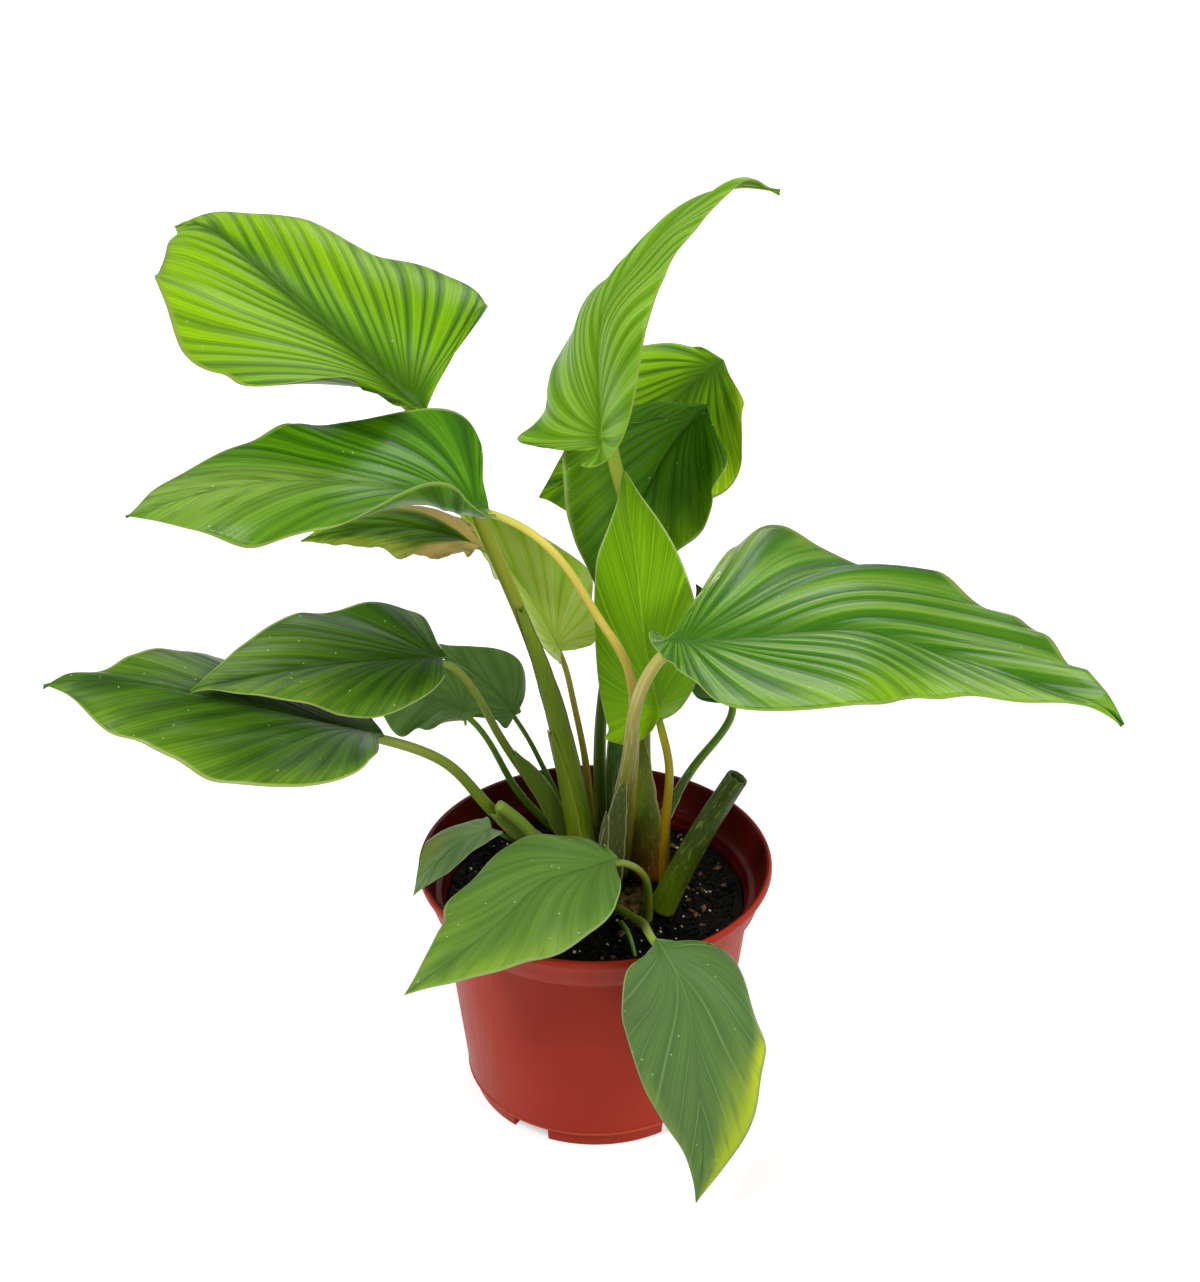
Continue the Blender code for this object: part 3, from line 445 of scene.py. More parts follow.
# Open sheaths round the feet of stalks: (from, to) along the stalk, bearing the sheath
# wraps, how far round it goes to the left and right in degrees, how far its edges stand
# off in mm, then its colours: foot, top and edge.
SHEATHS = {
    "upper_left": [((0.0, 0.58), 20, (100, 75), (0.2, 1.2), ("#6E8A12", "#7A961A", "#4A3414")),
                   ((0.0, 0.3), 315, (90, 60), (1.6, 0.6), ("#5A6A10", "#7A901A", "#98A43C"))],
    "low_left": [((0.0, 0.5), 40, (70, 100), (1.0, 4.0), ("#6E6E1C", "#6A8A2A", "#8E9A4C"))],
    "far_left": [((0.05, 0.4), 30, (80, 80), (1.0, 2.0), ("#66781C", "#86A03E", "#A6B070"))],
    "tall_centre": [((0.0, 0.34), 350, (110, 95), (1.0, 1.5), ("#6A3C10", "#5E7414", "#A89A3A"))],
    "large_right": [((0.0, 0.46), 350, (75, 60), (0.5, 0.5), ("#36421A", "#4E5A28", "#9C9A74")),
                    ((0.02, 0.33), 300, (60, 40), (1.4, 0.5), ("#4A3E1A", "#56602E", "#A09A70"))],
    "hidden_right": [((0.1, 0.52), 340, (60, 60), (0.5, 0.9), ("#4E5E1C", "#5E7C30", "#C5CCA0"))],
    "back_dark": [((0.0, 0.5), 20, (70, 80), (0.5, 2.5), ("#3E4E14", "#3E6A1A", "#A4B47A"))],
}
# Light and camera, in metres: each lamp's name, place, size and power in watts.
LAMPS = [
    ("key_softbox", (-0.9, -0.9, 1.7), 0.7, 22),
    ("fill_softbox", (1.3, -0.9, 1.2), 0.9, 14),
    ("back_softbox", (0.3, 1.3, 1.4), 0.9, 8),
]
LAMPS_AIM = (0, 0, 0.2)
WORLD_LEVEL = 0.38
CAMERA_PLACE = (0.0022, -0.855, 0.7025)
CAMERA_TILT_DEG = 28.53
CAMERA_LENS = 61.78


# ---------------------------------------------------------------- colours and nodes

# Settings that many nodes share: a colour mix, an eased range and a product.
MIX = {"data_type": "RGBA"}
EASED = {"interpolation_type": "SMOOTHSTEP"}
TIMES = {"operation": "MULTIPLY"}


def linear(hex_code):
    """An sRGB hex colour as the linear RGBA that shaders take."""
    parts = [int(hex_code[i : i + 2], 16) / 255 for i in (1, 3, 5)]
    return (*[c / 12.92 if c <= 0.04045 else ((c + 0.055) / 1.055) ** 2.4 for c in parts], 1)


def link(tree, node, sources):
    """Links a node's sockets to sockets, or to nodes by their first live output."""
    for key, source in sources.items():
        live = next(socket for socket in getattr(source, "outputs", [source]) if socket.enabled)
        tree.links.new(live, node.inputs[key])


def add(tree, kind, settings=None, links=None):
    """Adds one node: settings go to its properties or sockets, links to its sockets."""
    node = tree.nodes.new("ShaderNode" + kind)
    for key, value in (settings or {}).items():
        if isinstance(key, str) and hasattr(node, key):
            setattr(node, key, value)
        else:
            node.inputs[key].default_value = value
    link(tree, node, links or {})
    return node


def new_material(name, roughness, ior=1.45, gloss=0.3):
    """An empty Principled material, returned with its tree and shader."""
    made = bpy.data.materials.new(name)
    made.use_nodes = True
    tree = made.node_tree
    shader = tree.nodes["Principled BSDF"]
    shader.inputs["Roughness"].default_value = roughness
    shader.inputs["IOR"].default_value = ior
    shader.inputs["Specular IOR Level"].default_value = gloss
    return made, tree, shader


def leaf_pattern(tree, veins):
    """Sockets that follow a blade: from -1 at the left margin to 1 at the right, distance
    out from the midrib, place from base to tip, vein count, distance from a vein."""
    uv = add(tree, "UVMap", {"uv_map": "UVMap"})
    place = add(tree, "SeparateXYZ", links={0: uv})
    signed = add(tree, "Math", {"operation": "MULTIPLY_ADD", 1: 2, 2: -1}, {0: place.outputs[0]})
    out = add(tree, "Math", {"operation": "ABSOLUTE"}, {0: signed})
    count = add(tree, "Math", {**TIMES, 1: veins}, {0: place.outputs[1]})
    near = add(tree, "Math", {"operation": "PINGPONG", 1: 0.5}, {0: count})
    return signed, out, place.outputs[1], count, near


def leaf_upper(name, veins, look, patches):
    """Waxy living leaf: a smooth cuticle with a soft gloss over green that is darker in
    the sunken veins and lighter between them, with a thin pale margin. Patches of
    another colour lie where the leaf is young, scorched or fading; some are painted
    light instead: a painted highlight, or colour made brighter where the leaf lies in shade."""
    made, tree, shader = new_material(name, look["roughness"], gloss=look.get("gloss", LEAF_GLOSS))
    signed, out, along, count, near = leaf_pattern(tree, veins)
    # Streaks run with the veins: long outwards, short across them.
    streak_place = add(tree, "CombineXYZ", links={0: signed, 1: count})
    stretch = add(tree, "VectorMath", {**TIMES, 1: (1.4, 1.7, 1)}, {0: streak_place})
    streak = add(tree, "TexNoise", {"Scale": 1.0, "Detail": 3.0, "Roughness": 0.6}, {"Vector": stretch})
    place = add(tree, "TexCoord").outputs["Object"]
    cloud = add(tree, "TexNoise", {"Scale": 28.0, "Detail": 3.0}, {"Vector": place})

    # Across one spacing: the vein itself, then ever lighter, with a weak line halfway.
    across = add(tree, "Math", {**TIMES, 1: 2.0}, {0: near})
    bands = add(tree, "ValToRGB", links={0: across})
    stops = bands.color_ramp.elements
    stops[0].position, stops[0].color = look["line"] * 0.4, linear(look["vein"])
    stops[1].position, stops[1].color = 1.0, linear(look["green"])
    for spot, color in ((look["line"], "deep"), (0.5, "green"), (0.7, "light"), (0.88, "light")):
        stops.new(spot).color = linear(look[color])
    ground = add(tree, "Mix", {**MIX, 6: linear(look["deep"]), 7: linear(look["green"])}, {0: cloud})
    low, high = look["some"]
    some = add(tree, "MapRange", {1: low, 2: high, 3: look["least"]}, {0: streak})
    # Close to the midrib, where the veins crowd together, the bands fade.
    open_part = add(tree, "MapRange", {**EASED, 1: 0.02, 2: 0.3, 3: 0.35}, {0: out})
    shown = add(tree, "Math", TIMES, {0: some, 1: open_part})
    tone = add(tree, "Mix", MIX, {0: shown, 6: ground, 7: bands})

    # Over that lie layers of colour, each with a share that says where it shows.
    strength, width = look["heart"]
    heart = add(tree, "MapRange", {**EASED, 2: width, 3: strength, 4: 0.0}, {0: out})
    layers = [(heart, look["vein"])]
    for side, low, high, start, full, color, share, ragged in patches:
        outwards = add(tree, "Math", {**TIMES, 1: side}, {0: signed}) if side else out
        soft = (high - low) * 0.4 * ragged
        here, *others = (
            add(tree, "MapRange", {**EASED, 1: low, 2: low + soft}, {0: along}),
            add(tree, "MapRange", {**EASED, 1: high, 2: high - soft}, {0: along}),
            add(tree, "MapRange", {1: 0.3, 2: 0.55, 3: 1 - ragged}, {0: streak}),
            add(tree, "MapRange", {**EASED, 1: start, 2: full, 4: share}, {0: outwards}),
        )
        for other in others:
            here = add(tree, "Math", TIMES, {0: here, 1: other})
        layers.append((here, color))
    # Fine parallel veinlets, five to each spacing.
    fine = add(tree, "Math", {**TIMES, 1: 5.0}, {0: count})
    fine_line = add(tree, "Math", {"operation": "PINGPONG", 1: 0.5}, {0: fine})
    veinlets = look.get("veinlets", VEINLETS)
    veinlet = add(tree, "MapRange", {1: 0.05, 2: 0.3, 3: veinlets, 4: 0.0}, {0: fine_line})
    rib = add(tree, "MapRange", {**EASED, 1: 0.008, 2: 0.022, 3: look["rib_share"], 4: 0.0}, {0: out})
    # Pale flecks about a millimetre wide, at most two to a square centimetre.
    cells = add(tree, "TexVoronoi", {"Scale": 250.0}, {"Vector": place})
    dot = add(tree, "Math", {"operation": "LESS_THAN", 1: 0.1}, {0: cells.outputs["Distance"]})
    pick = add(tree, "SeparateXYZ", links={0: cells.outputs["Color"]})
    chosen = add(tree, "Math", {"operation": "LESS_THAN", 1: look["flecks"]}, {0: pick})
    fleck = add(tree, "Math", TIMES, {0: dot, 1: chosen})
    edge = add(tree, "MapRange", {**EASED, 1: 0.97, 2: 0.99, 4: 0.8}, {0: out})
    layers += [(veinlet, look["vein"]), (rib, look["rib"]), (fleck, "#A9BC78"), (edge, look["margin"])]
    for share, color in layers:
        tone = add(tree, "Mix", {**MIX, 7: linear(color)}, {0: share, 6: tone})

    # The veinlets stand up a little, over a faint leathery grain.
    grain = add(tree, "TexNoise", {"Scale": 900.0, "Detail": 2.0}, {"Vector": place})
    relief = add(tree, "Math", {"operation": "MULTIPLY_ADD", 1: 0.5}, {0: grain, 2: fine_line})
    bump = add(tree, "Bump", {"Strength": 0.35, "Distance": 0.0003}, {"Height": relief})
    low, high = look["roughness"] - 0.06, look["roughness"] + 0.08
    rough = add(tree, "MapRange", {1: 0.3, 2: 0.7, 3: low, 4: high}, {0: streak})
    link(tree, shader, {"Base Color": tone, "Normal": bump, "Roughness": rough})
    return made


def leaf_under(name, veins, look):
    """Underside of a living leaf: paler and duller than the top, with raised light veins."""
    made, tree, shader = new_material(name, 0.5, gloss=0.12)
    _, out, _, _, near = leaf_pattern(tree, veins)
    place = add(tree, "TexCoord").outputs["Object"]
    cloud = add(tree, "TexNoise", {"Scale": 40.0, "Detail": 3.0}, {"Vector": place})
    tone = add(tree, "Mix", {**MIX, 6: linear(look["under"]), 7: linear(look["under_light"])}, {0: cloud})
    line = add(tree, "MapRange", {2: 0.08, 3: 0.7, 4: 0.0}, {0: near})
    rib = add(tree, "MapRange", {**EASED, 1: 0.006, 2: 0.03, 3: 0.6, 4: 0.0}, {0: out})
    edge = add(tree, "MapRange", {**EASED, 1: 0.965, 2: 0.99}, {0: out})
    for share, color in ((line, "under_vein"), (rib, "under_vein"), (edge, "margin")):
        tone = add(tree, "Mix", {**MIX, 7: linear(look[color])}, {0: share, 6: tone})
    raised = add(tree, "MapRange", {**EASED, 2: 0.1, 3: 1.0, 4: 0.0}, {0: near})
    bump = add(tree, "Bump", {"Strength": 0.5, "Distance": 0.0004}, {"Height": raised})
    link(tree, shader, {"Base Color": tone, "Normal": bump})
    return made


def leaf_margin(name, color):
    """Cartilage edge of a leaf: a hard, pale line, lighter in places."""
    made, tree, shader = new_material(name, 0.4)
    place = add(tree, "TexCoord").outputs["Object"]
    cloud = add(tree, "TexNoise", {"Scale": 60.0}, {"Vector": place})
    tint = add(tree, "Mix", {**MIX, 6: linear(color), 7: linear("#D9E3A8")}, {0: cloud})
    link(tree, shader, {"Base Color": tint})
    return made


def stalk_pattern(tree, stretch, grain, wander):
    """UV place on a stalk, the place across it, streaks that run up it, and the height up
    it from 0 to 1, which wanders with the streaks."""
    uv = add(tree, "UVMap", {"uv_map": "UVMap"})
    place = add(tree, "SeparateXYZ", links={0: uv})
    stretched = add(tree, "VectorMath", {**TIMES, 1: stretch}, {0: uv})
    streak = add(tree, "TexNoise", grain, {"Vector": stretched})
    shift = add(tree, "Math", {"operation": "MULTIPLY_ADD", 1: wander, 2: -wander / 2}, {0: streak})
    along = add(tree, "Math", {"operation": "ADD"}, {0: shift, 1: place.outputs[1]})
    return uv, place.outputs[0], streak, along


def petiole_skin(name, foot, middle, top, rib, streak_color, streak_share):
    """Fleshy leaf stalk: smooth satin skin with fine streaks along it, changing colour
    from its foot to its top and on along the rib under the blade."""
    made, tree, shader = new_material(name, 0.38, gloss=0.24)
    grain = {"Scale": 4.0, "Detail": 5.0, "Roughness": 0.65}
    _, _, streak, along = stalk_pattern(tree, (7, 2.5, 1), grain, 0.12)
    ramp = add(tree, "ValToRGB", links={0: along})
    stops = ramp.color_ramp.elements
    stops[0].position, stops[0].color = 0.02, linear(foot)
    stops[1].position, stops[1].color = 0.56, linear(rib)
    stops.new(0.2).color = linear(middle)
    stops.new(0.47).color = linear(top)
    share = add(tree, "MapRange", {**EASED, 1: 0.52, 2: 0.68, 4: streak_share}, {0: streak})
    skin = add(tree, "Mix", {**MIX, 7: linear(streak_color)}, {0: share, 6: ramp})
    bump = add(tree, "Bump", {"Strength": 0.4, "Distance": 0.0004}, {"Height": streak})
    link(tree, shader, {"Base Color": skin, "Normal": bump})
    return made


def sheath_skin(name, foot, top, edge):
    """Leaf sheath: thin, dry and faintly ribbed, fading from its foot up, with dry scales
    and a papery edge of another colour that is torn here and there."""
    made, tree, shader = new_material(name, 0.45)
    grain = {"Scale": 2.0, "Detail": 4.0, "Roughness": 0.6}
    uv, side, streak, along = stalk_pattern(tree, (14, 1.6, 1), grain, 0.5)
    rise = add(tree, "MapRange", {**EASED, 1: 0.05, 2: 0.5}, {0: along})
    tone = add(tree, "Mix", {**MIX, 6: linear(foot), 7: linear(top)}, {0: rise})
    off_centre = add(tree, "Math", {"operation": "MULTIPLY_ADD", 1: 2, 2: -1}, {0: side})
    out = add(tree, "Math", {"operation": "ABSOLUTE"}, {0: off_centre})
    torn = add(tree, "Math", {"operation": "MULTIPLY_ADD", 1: 0.2}, {0: streak, 2: out})
    border = add(tree, "MapRange", {**EASED, 1: 0.93, 2: 1.03}, {0: torn})
    fine = add(tree, "VectorMath", {**TIMES, 1: (22, 14, 1)}, {0: uv})
    scales = add(tree, "TexNoise", {"Scale": 1.0, "Detail": 4.0, "Roughness": 0.7}, {"Vector": fine})
    scaly = add(tree, "MapRange", {1: 0.54, 2: 0.66, 4: 0.55}, {0: scales})
    for share in (scaly, border):
        tone = add(tree, "Mix", {**MIX, 7: linear(edge)}, {0: share, 6: tone})
    bump = add(tree, "Bump", {"Strength": 0.5, "Distance": 0.0005}, {"Height": scales})
    link(tree, shader, {"Base Color": tone, "Normal": bump})
    return made


def moulded_plastic(name, low, high):
    """Moulded polypropylene, terracotta red: satin, with faint flow marks and dust, and
    paler along the ridge over the foot."""
    made, tree, shader = new_material(name, 0.42, 1.49, 0.12)
    place = add(tree, "TexCoord").outputs["Object"]
    flow_place = add(tree, "VectorMath", {**TIMES, 1: (1, 1, 0.15)}, {0: place})
    flow = add(tree, "TexNoise", {"Scale": 90.0, "Detail": 4.0}, {"Vector": flow_place})
    cloud = add(tree, "TexNoise", {"Scale": 14.0, "Detail": 3.0}, {"Vector": place})
    mixed = add(tree, "Math", {"operation": "MULTIPLY_ADD", 1: 0.4}, {0: flow, 2: cloud})
    share = add(tree, "MapRange", {1: 0.4}, {0: mixed})
    red = add(tree, "Mix", {**MIX, 6: linear(low), 7: linear(high)}, {0: share})
    # The red is made paler along the ridge over the foot.
    point = add(tree, "SeparateXYZ", links={0: place})
    above = add(tree, "Math", {"operation": "SUBTRACT", 1: RIDGE_Z * MM}, {0: point.outputs[2]})
    away = add(tree, "Math", {"operation": "ABSOLUTE"}, {0: above})
    paler_ridge = add(tree, "MapRange", {**EASED, 1: 0.3 * MM, 2: 0.9 * MM, 3: 0.6, 4: 0.0}, {0: away})
    red = add(tree, "Mix", {**MIX, 7: linear("#B8604A")}, {0: paler_ridge, 6: red})
    rough = add(tree, "MapRange", {1: 0.3, 2: 0.7, 3: 0.36, 4: 0.5}, {0: flow})
    link(tree, shader, {"Base Color": red, "Roughness": rough})
    return made


def damp_peat(name):
    """Damp peat mix: almost black, with brown fibres and a wet glint here and there."""
    made, tree, shader = new_material(name, 0.8, 1.4, 0.2)
    place = add(tree, "TexCoord").outputs["Object"]
    crumbs = add(tree, "TexNoise", {"Scale": 350.0, "Detail": 6.0, "Roughness": 0.7}, {"Vector": place})
    ramp = add(tree, "ValToRGB", links={0: crumbs})
    stops = ramp.color_ramp.elements
    stops[0].position, stops[0].color = 0.4, linear("#020201")
    stops[1].position, stops[1].color = 0.75, linear("#120B06")
    rough = add(tree, "MapRange", {1: 0.35, 2: 0.6, 3: 0.45, 4: 0.95}, {0: crumbs})
    bump = add(tree, "Bump", {"Strength": 0.8, "Distance": 0.001}, {"Height": crumbs})
    link(tree, shader, {"Base Color": ramp, "Roughness": rough, "Normal": bump})
    return made


def speckled(name, dark, light, roughness, scale):
    """Peat crumbs, bark or perlite: rough and dull, mottled between two colours."""
    made, tree, shader = new_material(name, roughness, 1.4, 0.2)
    place = add(tree, "TexCoord").outputs["Object"]
    mottle = add(tree, "TexNoise", {"Scale": scale, "Detail": 5.0, "Roughness": 0.65}, {"Vector": place})
    share = add(tree, "MapRange", {1: 0.35, 2: 0.65}, {0: mottle})
    tint = add(tree, "Mix", {**MIX, 6: linear(dark), 7: linear(light)}, {0: share})
    bump = add(tree, "Bump", {"Strength": 0.7, "Distance": 0.0006}, {"Height": mottle})
    link(tree, shader, {"Base Color": tint, "Normal": bump})
    return made


# ---------------------------------------------------------------- making pieces


def deselect():
    if bpy.context.object and bpy.context.object.mode != "OBJECT":
        bpy.ops.object.mode_set(mode="OBJECT")
    bpy.ops.object.select_all(action="DESELECT")


def grid_piece(name, points, uv, thickness=0):
    """A grid laid on points, an array of rows and columns in millimetres, then welded
    where it meets itself. A thickness makes it a sheet with a second face below."""
    deselect()
    rows, cols = points.shape[:2]
    bpy.ops.mesh.primitive_grid_add(x_subdivisions=cols - 1, y_subdivisions=rows - 1, size=1)
    piece = bpy.context.object
    piece.name = piece.data.name = name
    mesh = piece.data
    mesh.vertices.foreach_set("co", (points * MM).ravel())
    corner = np.zeros(len(mesh.loops), int)
    mesh.loops.foreach_get("vertex_index", corner)
    mesh.uv_layers[0].data.foreach_set("uv", uv.reshape(-1, 2)[corner].ravel())
    bpy.ops.object.mode_set(mode="EDIT")
    bpy.ops.mesh.select_all(action="SELECT")
    bpy.ops.mesh.remove_doubles(threshold=WELD * MM)
    bpy.ops.mesh.dissolve_degenerate(threshold=SLIVER * MM)
    bpy.ops.object.mode_set(mode="OBJECT")
    if thickness:
        solid = piece.modifiers.new("Thickness", "SOLIDIFY")
        solid.thickness = thickness * MM
        solid.offset = 0
        solid.material_offset = 1
        solid.material_offset_rim = 2
        bpy.ops.object.modifier_apply(modifier="Thickness")
    bpy.ops.object.shade_smooth()
    return piece


def finish_piece(piece, materials, nodes):
    """Gives a piece its materials, hangs it from the root body and hides the model's parts that it stands
    for.
    """
    for made in materials:
        piece.data.materials.append(made)
    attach(piece, "root")
    if nodes:
        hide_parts(*nodes)
    return piece


def join_into(piece, others):
    deselect()
    for other in [*others, piece]:
        other.select_set(True)
    bpy.context.view_layer.objects.active = piece
    bpy.ops.object.join()
    return piece


def unit(v):
    return v / np.linalg.norm(v, axis=-1, keepdims=True)


def grid_uv(across, along):
    """UV of a grid: across gives u for each column, along gives v for each row."""
    u, v = np.meshgrid(across, along)
    return np.stack([u, v], -1)


def tube_frames(centre):
    """Tangents and two side directions along a route, turned as little as possible."""
    tangent = unit(np.gradient(centre, axis=0))
    first = np.cross(tangent[0], (0, -1, 0.01))
    sides = [unit(first)]
    for t in tangent[1:]:
        carried = sides[-1] - t * np.dot(sides[-1], t)
        sides.append(unit(carried))
    sides = np.array(sides)
    return tangent, sides, np.cross(tangent, sides)


def tube(name, centre, radius, sides=STALK_SIDES, swell=None, hollow=0):
    """A closed round stalk. Radius has one value per point; swell, one row per point,
    multiplies it round the section, starting from the side direction. Hollow is the
    depth of a hole in its upper end."""
    tangent, x_way, y_way = tube_frames(centre)
    angle = np.linspace(0, 2 * math.pi, sides + 1)
    sized = radius[:, None] * (np.ones((len(centre), sides + 1)) if swell is None else swell)
    points = (
        centre[:, None]
        + x_way[:, None] * (np.cos(angle) * sized)[..., None]
        + y_way[:, None] * (np.sin(angle) * sized)[..., None]
    )
    # Rounded ends: one narrower ring a little further on, then a point.
    ends = []
    for i, way in ((0, -1), (-1, 1)):
        outwards = tangent[i] * way * radius[i]
        ring = centre[i] + (points[i] - centre[i]) * END_SIZE + outwards * END_STEP
        tip = np.repeat((centre[i] + outwards * END_REACH)[None], sides + 1, 0)
        ends.append([ring, tip])
    upper = ends[1]
    if hollow:
        down = tangent[-1] * hollow
        lip = centre[-1] + (points[-1] - centre[-1]) * HOLLOW_LIP
        floor = centre[-1] + (points[-1] - centre[-1]) * HOLLOW_FLOOR - down
        upper = [lip, lip - down * 0.1, floor, np.repeat((centre[-1] - down)[None], sides + 1, 0)]
    points = np.concatenate([[ends[0][1], ends[0][0]], points, upper])
    along = np.concatenate([[0, 0], np.linspace(0, 1, len(centre)), np.ones(len(upper))])
    return grid_piece(name, points, grid_uv(np.linspace(0, 1, sides + 1), along))


# ---------------------------------------------------------------- leaves


def smooth_curve(points, steps):
    """Natural cubic curve through the points, read at steps + 1 places."""
    pts = np.asarray(points, float)
    last = len(pts) - 1
    t = np.concatenate([[0], np.cumsum(np.linalg.norm(np.diff(pts, axis=0), axis=1))])
    t /= t[-1]
    h = np.diff(t)
    left, right = np.eye(last + 1), np.zeros_like(pts)
    for i in range(1, last):
        left[i, i - 1 : i + 2] = h[i - 1], 2 * (h[i - 1] + h[i]), h[i]
        right[i] = 6 * ((pts[i + 1] - pts[i]) / h[i] - (pts[i] - pts[i - 1]) / h[i - 1])
    bend = np.linalg.solve(left, right)
    u = np.linspace(0, 1, steps + 1)
    k = np.clip(np.searchsorted(t, u, side="right") - 1, 0, last - 1)
    a, b, w = (t[k + 1] - u)[:, None], (u - t[k])[:, None], h[k][:, None]
    return (
        (bend[k] * a**3 + bend[k + 1] * b**3) / (6 * w)
        + (pts[k] / w - bend[k] * w / 6) * a
        + (pts[k + 1] / w - bend[k + 1] * w / 6) * b
    )


def facing(bearing, elevation):
    b, e = math.radians(bearing), math.radians(elevation)
    return np.array([math.sin(b) * math.cos(e), -math.cos(b) * math.cos(e), math.sin(e)])


def smooth_step(x, low, high):
    t = np.clip((x - low) / (high - low), 0, 1)
    return t * t * (3 - 2 * t)


class Blade:
    """The middle surface of one leaf blade, as in the model's source, with more detail."""

    def __init__(self, leaf, detail):
        self.leaf, self.detail = leaf, detail
        self.route = smooth_curve(leaf["midrib"], MIDRIB_STEPS)
        steps = np.linalg.norm(np.diff(self.route, axis=0), axis=1)
        self.arc = np.concatenate([[0], np.cumsum(steps)])
        self.length = self.arc[-1]
        self.tangents = np.gradient(self.route, self.arc, axis=0)
        self.faces = np.array([facing(*way) for way in leaf["face"]])

    def frame_at(self, x):
        """Point, tangent, leftward and upper-face directions at x along the midrib."""
        inside = np.clip(x, 0, self.length)

        def read(places, values):
            return np.stack([np.interp(inside, places, values[:, i]) for i in range(3)], -1)

        tangent = unit(read(self.arc, self.tangents))
        point = read(self.arc, self.route) + tangent * np.minimum(x, 0)[..., None]
        stations = np.linspace(0, self.length, len(self.faces))
        face = read(stations, self.faces)
        normal = unit(face - (face * tangent).sum(-1, keepdims=True) * tangent)
        return point, tangent, np.cross(normal, tangent), normal

    def led(self, x):
        """How far the end of the blade is led to where its tip points."""
        tip = np.array(self.detail.get("tip", (0, 0, 0)), float)
        return np.clip((x - LEAD_FROM) / (1 - LEAD_FROM), 0, 1)[..., None] ** 2 * tip

    def hook(self, x):
        """How far the end of the blade droops."""
        return np.clip((x - HOOK_FROM) / (1 - HOOK_FROM), 0, 1) ** 2 * self.detail["hook"]

    def channel_depth(self, x):
        """Depth of the channel over the midrib, shallower towards the tip."""
        return self.detail["channel"] * (1 - 0.8 * x)

    def vein_count(self, a):
        """Side veins counted from the base, at shares of the margin: not quite even."""
        even = a * self.detail["veins"]
        return even + 0.2 * np.sin(2.3 * even) + 0.15 * np.sin(1.1 * even + 1)

    def vein_net(self, which, a, b):
        """Places along the midrib and out from it on the left (0) or right (1) half: a row
        for each vein, rooted at the share a, and a column for each share b of its length."""
        leaf = self.leaf
        out_x, out_y, back = np.array(HALF_OUTLINE, float).T
        outline = smooth_curve(np.c_[out_x - back * leaf["lobe"][which], out_y, 0 * back], len(a) - 1)
        beyond = np.clip((a - VEIN_FAN) / (1 - VEIN_FAN), 0, 1) ** VEIN_CROWD
        root = self.length * (FAN_REACH * np.clip(a / VEIN_FAN, 0, 1) + (1 - FAN_REACH) * beyond)
        reach = outline[:, :1] * self.length
        spread = np.maximum(outline[:, 1:2], 0) * leaf["width"] / 2 * leaf["sides"][which]
        # Side veins near the base arch forward, and those beyond them arch outwards.
        bent = np.clip(a / VEIN_TURN, 0, 1)
        sweep, stretch = (first + (last - first) * bent for first, last in (VEIN_SWEEP, VEIN_SPREAD))
        along = (1 - b) ** 2 * root + b**2 * reach
        along += 2 * b * (1 - b) * (root + sweep * (reach - root))
        return along, (2 * b * (1 - b) * stretch + b**2) * spread

    def folded(self, which, along, out):
        """The smooth surface of a half, folded and curled, and the way its upper side looks."""
        leaf = self.leaf
        point, _, leftward, normal = self.frame_at(along)
        at_base, at_tip = leaf["fold"][which]
        fold = np.radians(at_base + (at_tip - at_base) * np.clip(along / self.length, 0, 1))
        curl = math.radians(leaf["curl"][which] or 0.01) / (leaf["width"] / 2)
        turn = fold + curl * out
        away = (np.sin(turn) - np.sin(fold)) / curl
        rise = (np.cos(fold) - np.cos(turn)) / curl
        sign = 1 if which == 0 else -1
        surface = point + leftward * (sign * away)[..., None] + normal * rise[..., None]
        turn = turn[..., None]
        return surface, normal * np.cos(turn) - leftward * (sign * np.sin(turn))

    def side(self, which, veins, across):
        """Points of the left (0) or right (1) half: one row along each vein."""
        detail = self.detail
        a = np.linspace(0, 1, veins + 1)[:, None]
        b = np.linspace(0, 1, across + 1)[None, :]
        along, out = self.vein_net(which, a, b)
        surface, upward = self.folded(which, along, out)
        x = np.clip(along / self.length, 0, 1)
        # Waves of the margin, each swelling and dying away round its own middle.
        for half, middle, span, shift, sharpness in detail.get("waves", []):
            if half == which:
                swell = np.cos(np.clip((a - middle) / span, -1, 1) * math.pi / 2) ** 2
                surface += (swell * b**sharpness)[..., None] * np.array(shift, float)
        surface += self.led(x)
        crumple = np.sin(along * 0.5 + 2 * np.sin(out * 0.35))
        crumple *= np.sin(out * 0.6 + 1.3 * np.sin(along * 0.27))
        surface += upward * (crumple * b * detail.get("crumple", (0, 0))[which])[..., None]

        # A channel over the midrib, and pleats that rise between the side veins, lower
        # where the veins crowd together, by the midrib and by the margin.
        from_rib = np.linalg.norm(surface - surface[:, :1], axis=-1)
        near_rib = np.exp(-((from_rib / CHANNEL_WIDE) ** 2))
        surface -= upward * (self.channel_depth(x) * near_rib)[..., None]
        spacing = np.linalg.norm(np.gradient(surface, axis=0), axis=-1) * veins / detail["veins"]
        open_enough = np.clip(spacing / PLEAT_WIDE, 0, 1)
        fade = smooth_step(b, 0, 0.25) * (1 - smooth_step(b, 0.82, 1))
        hump = np.abs(np.sin(math.pi * self.vein_count(a))) ** 0.8 * smooth_step(a, 0.04, 0.25)
        surface += upward * (detail["pleat"] * hump * fade * open_enough)[..., None]
        ripple = np.sin(a * RIPPLE_TURN + which * 2 + b)
        surface += upward * (detail["ripple"] * b**3 * ripple)[..., None]
        return surface - upward * self.hook(x)[..., None]


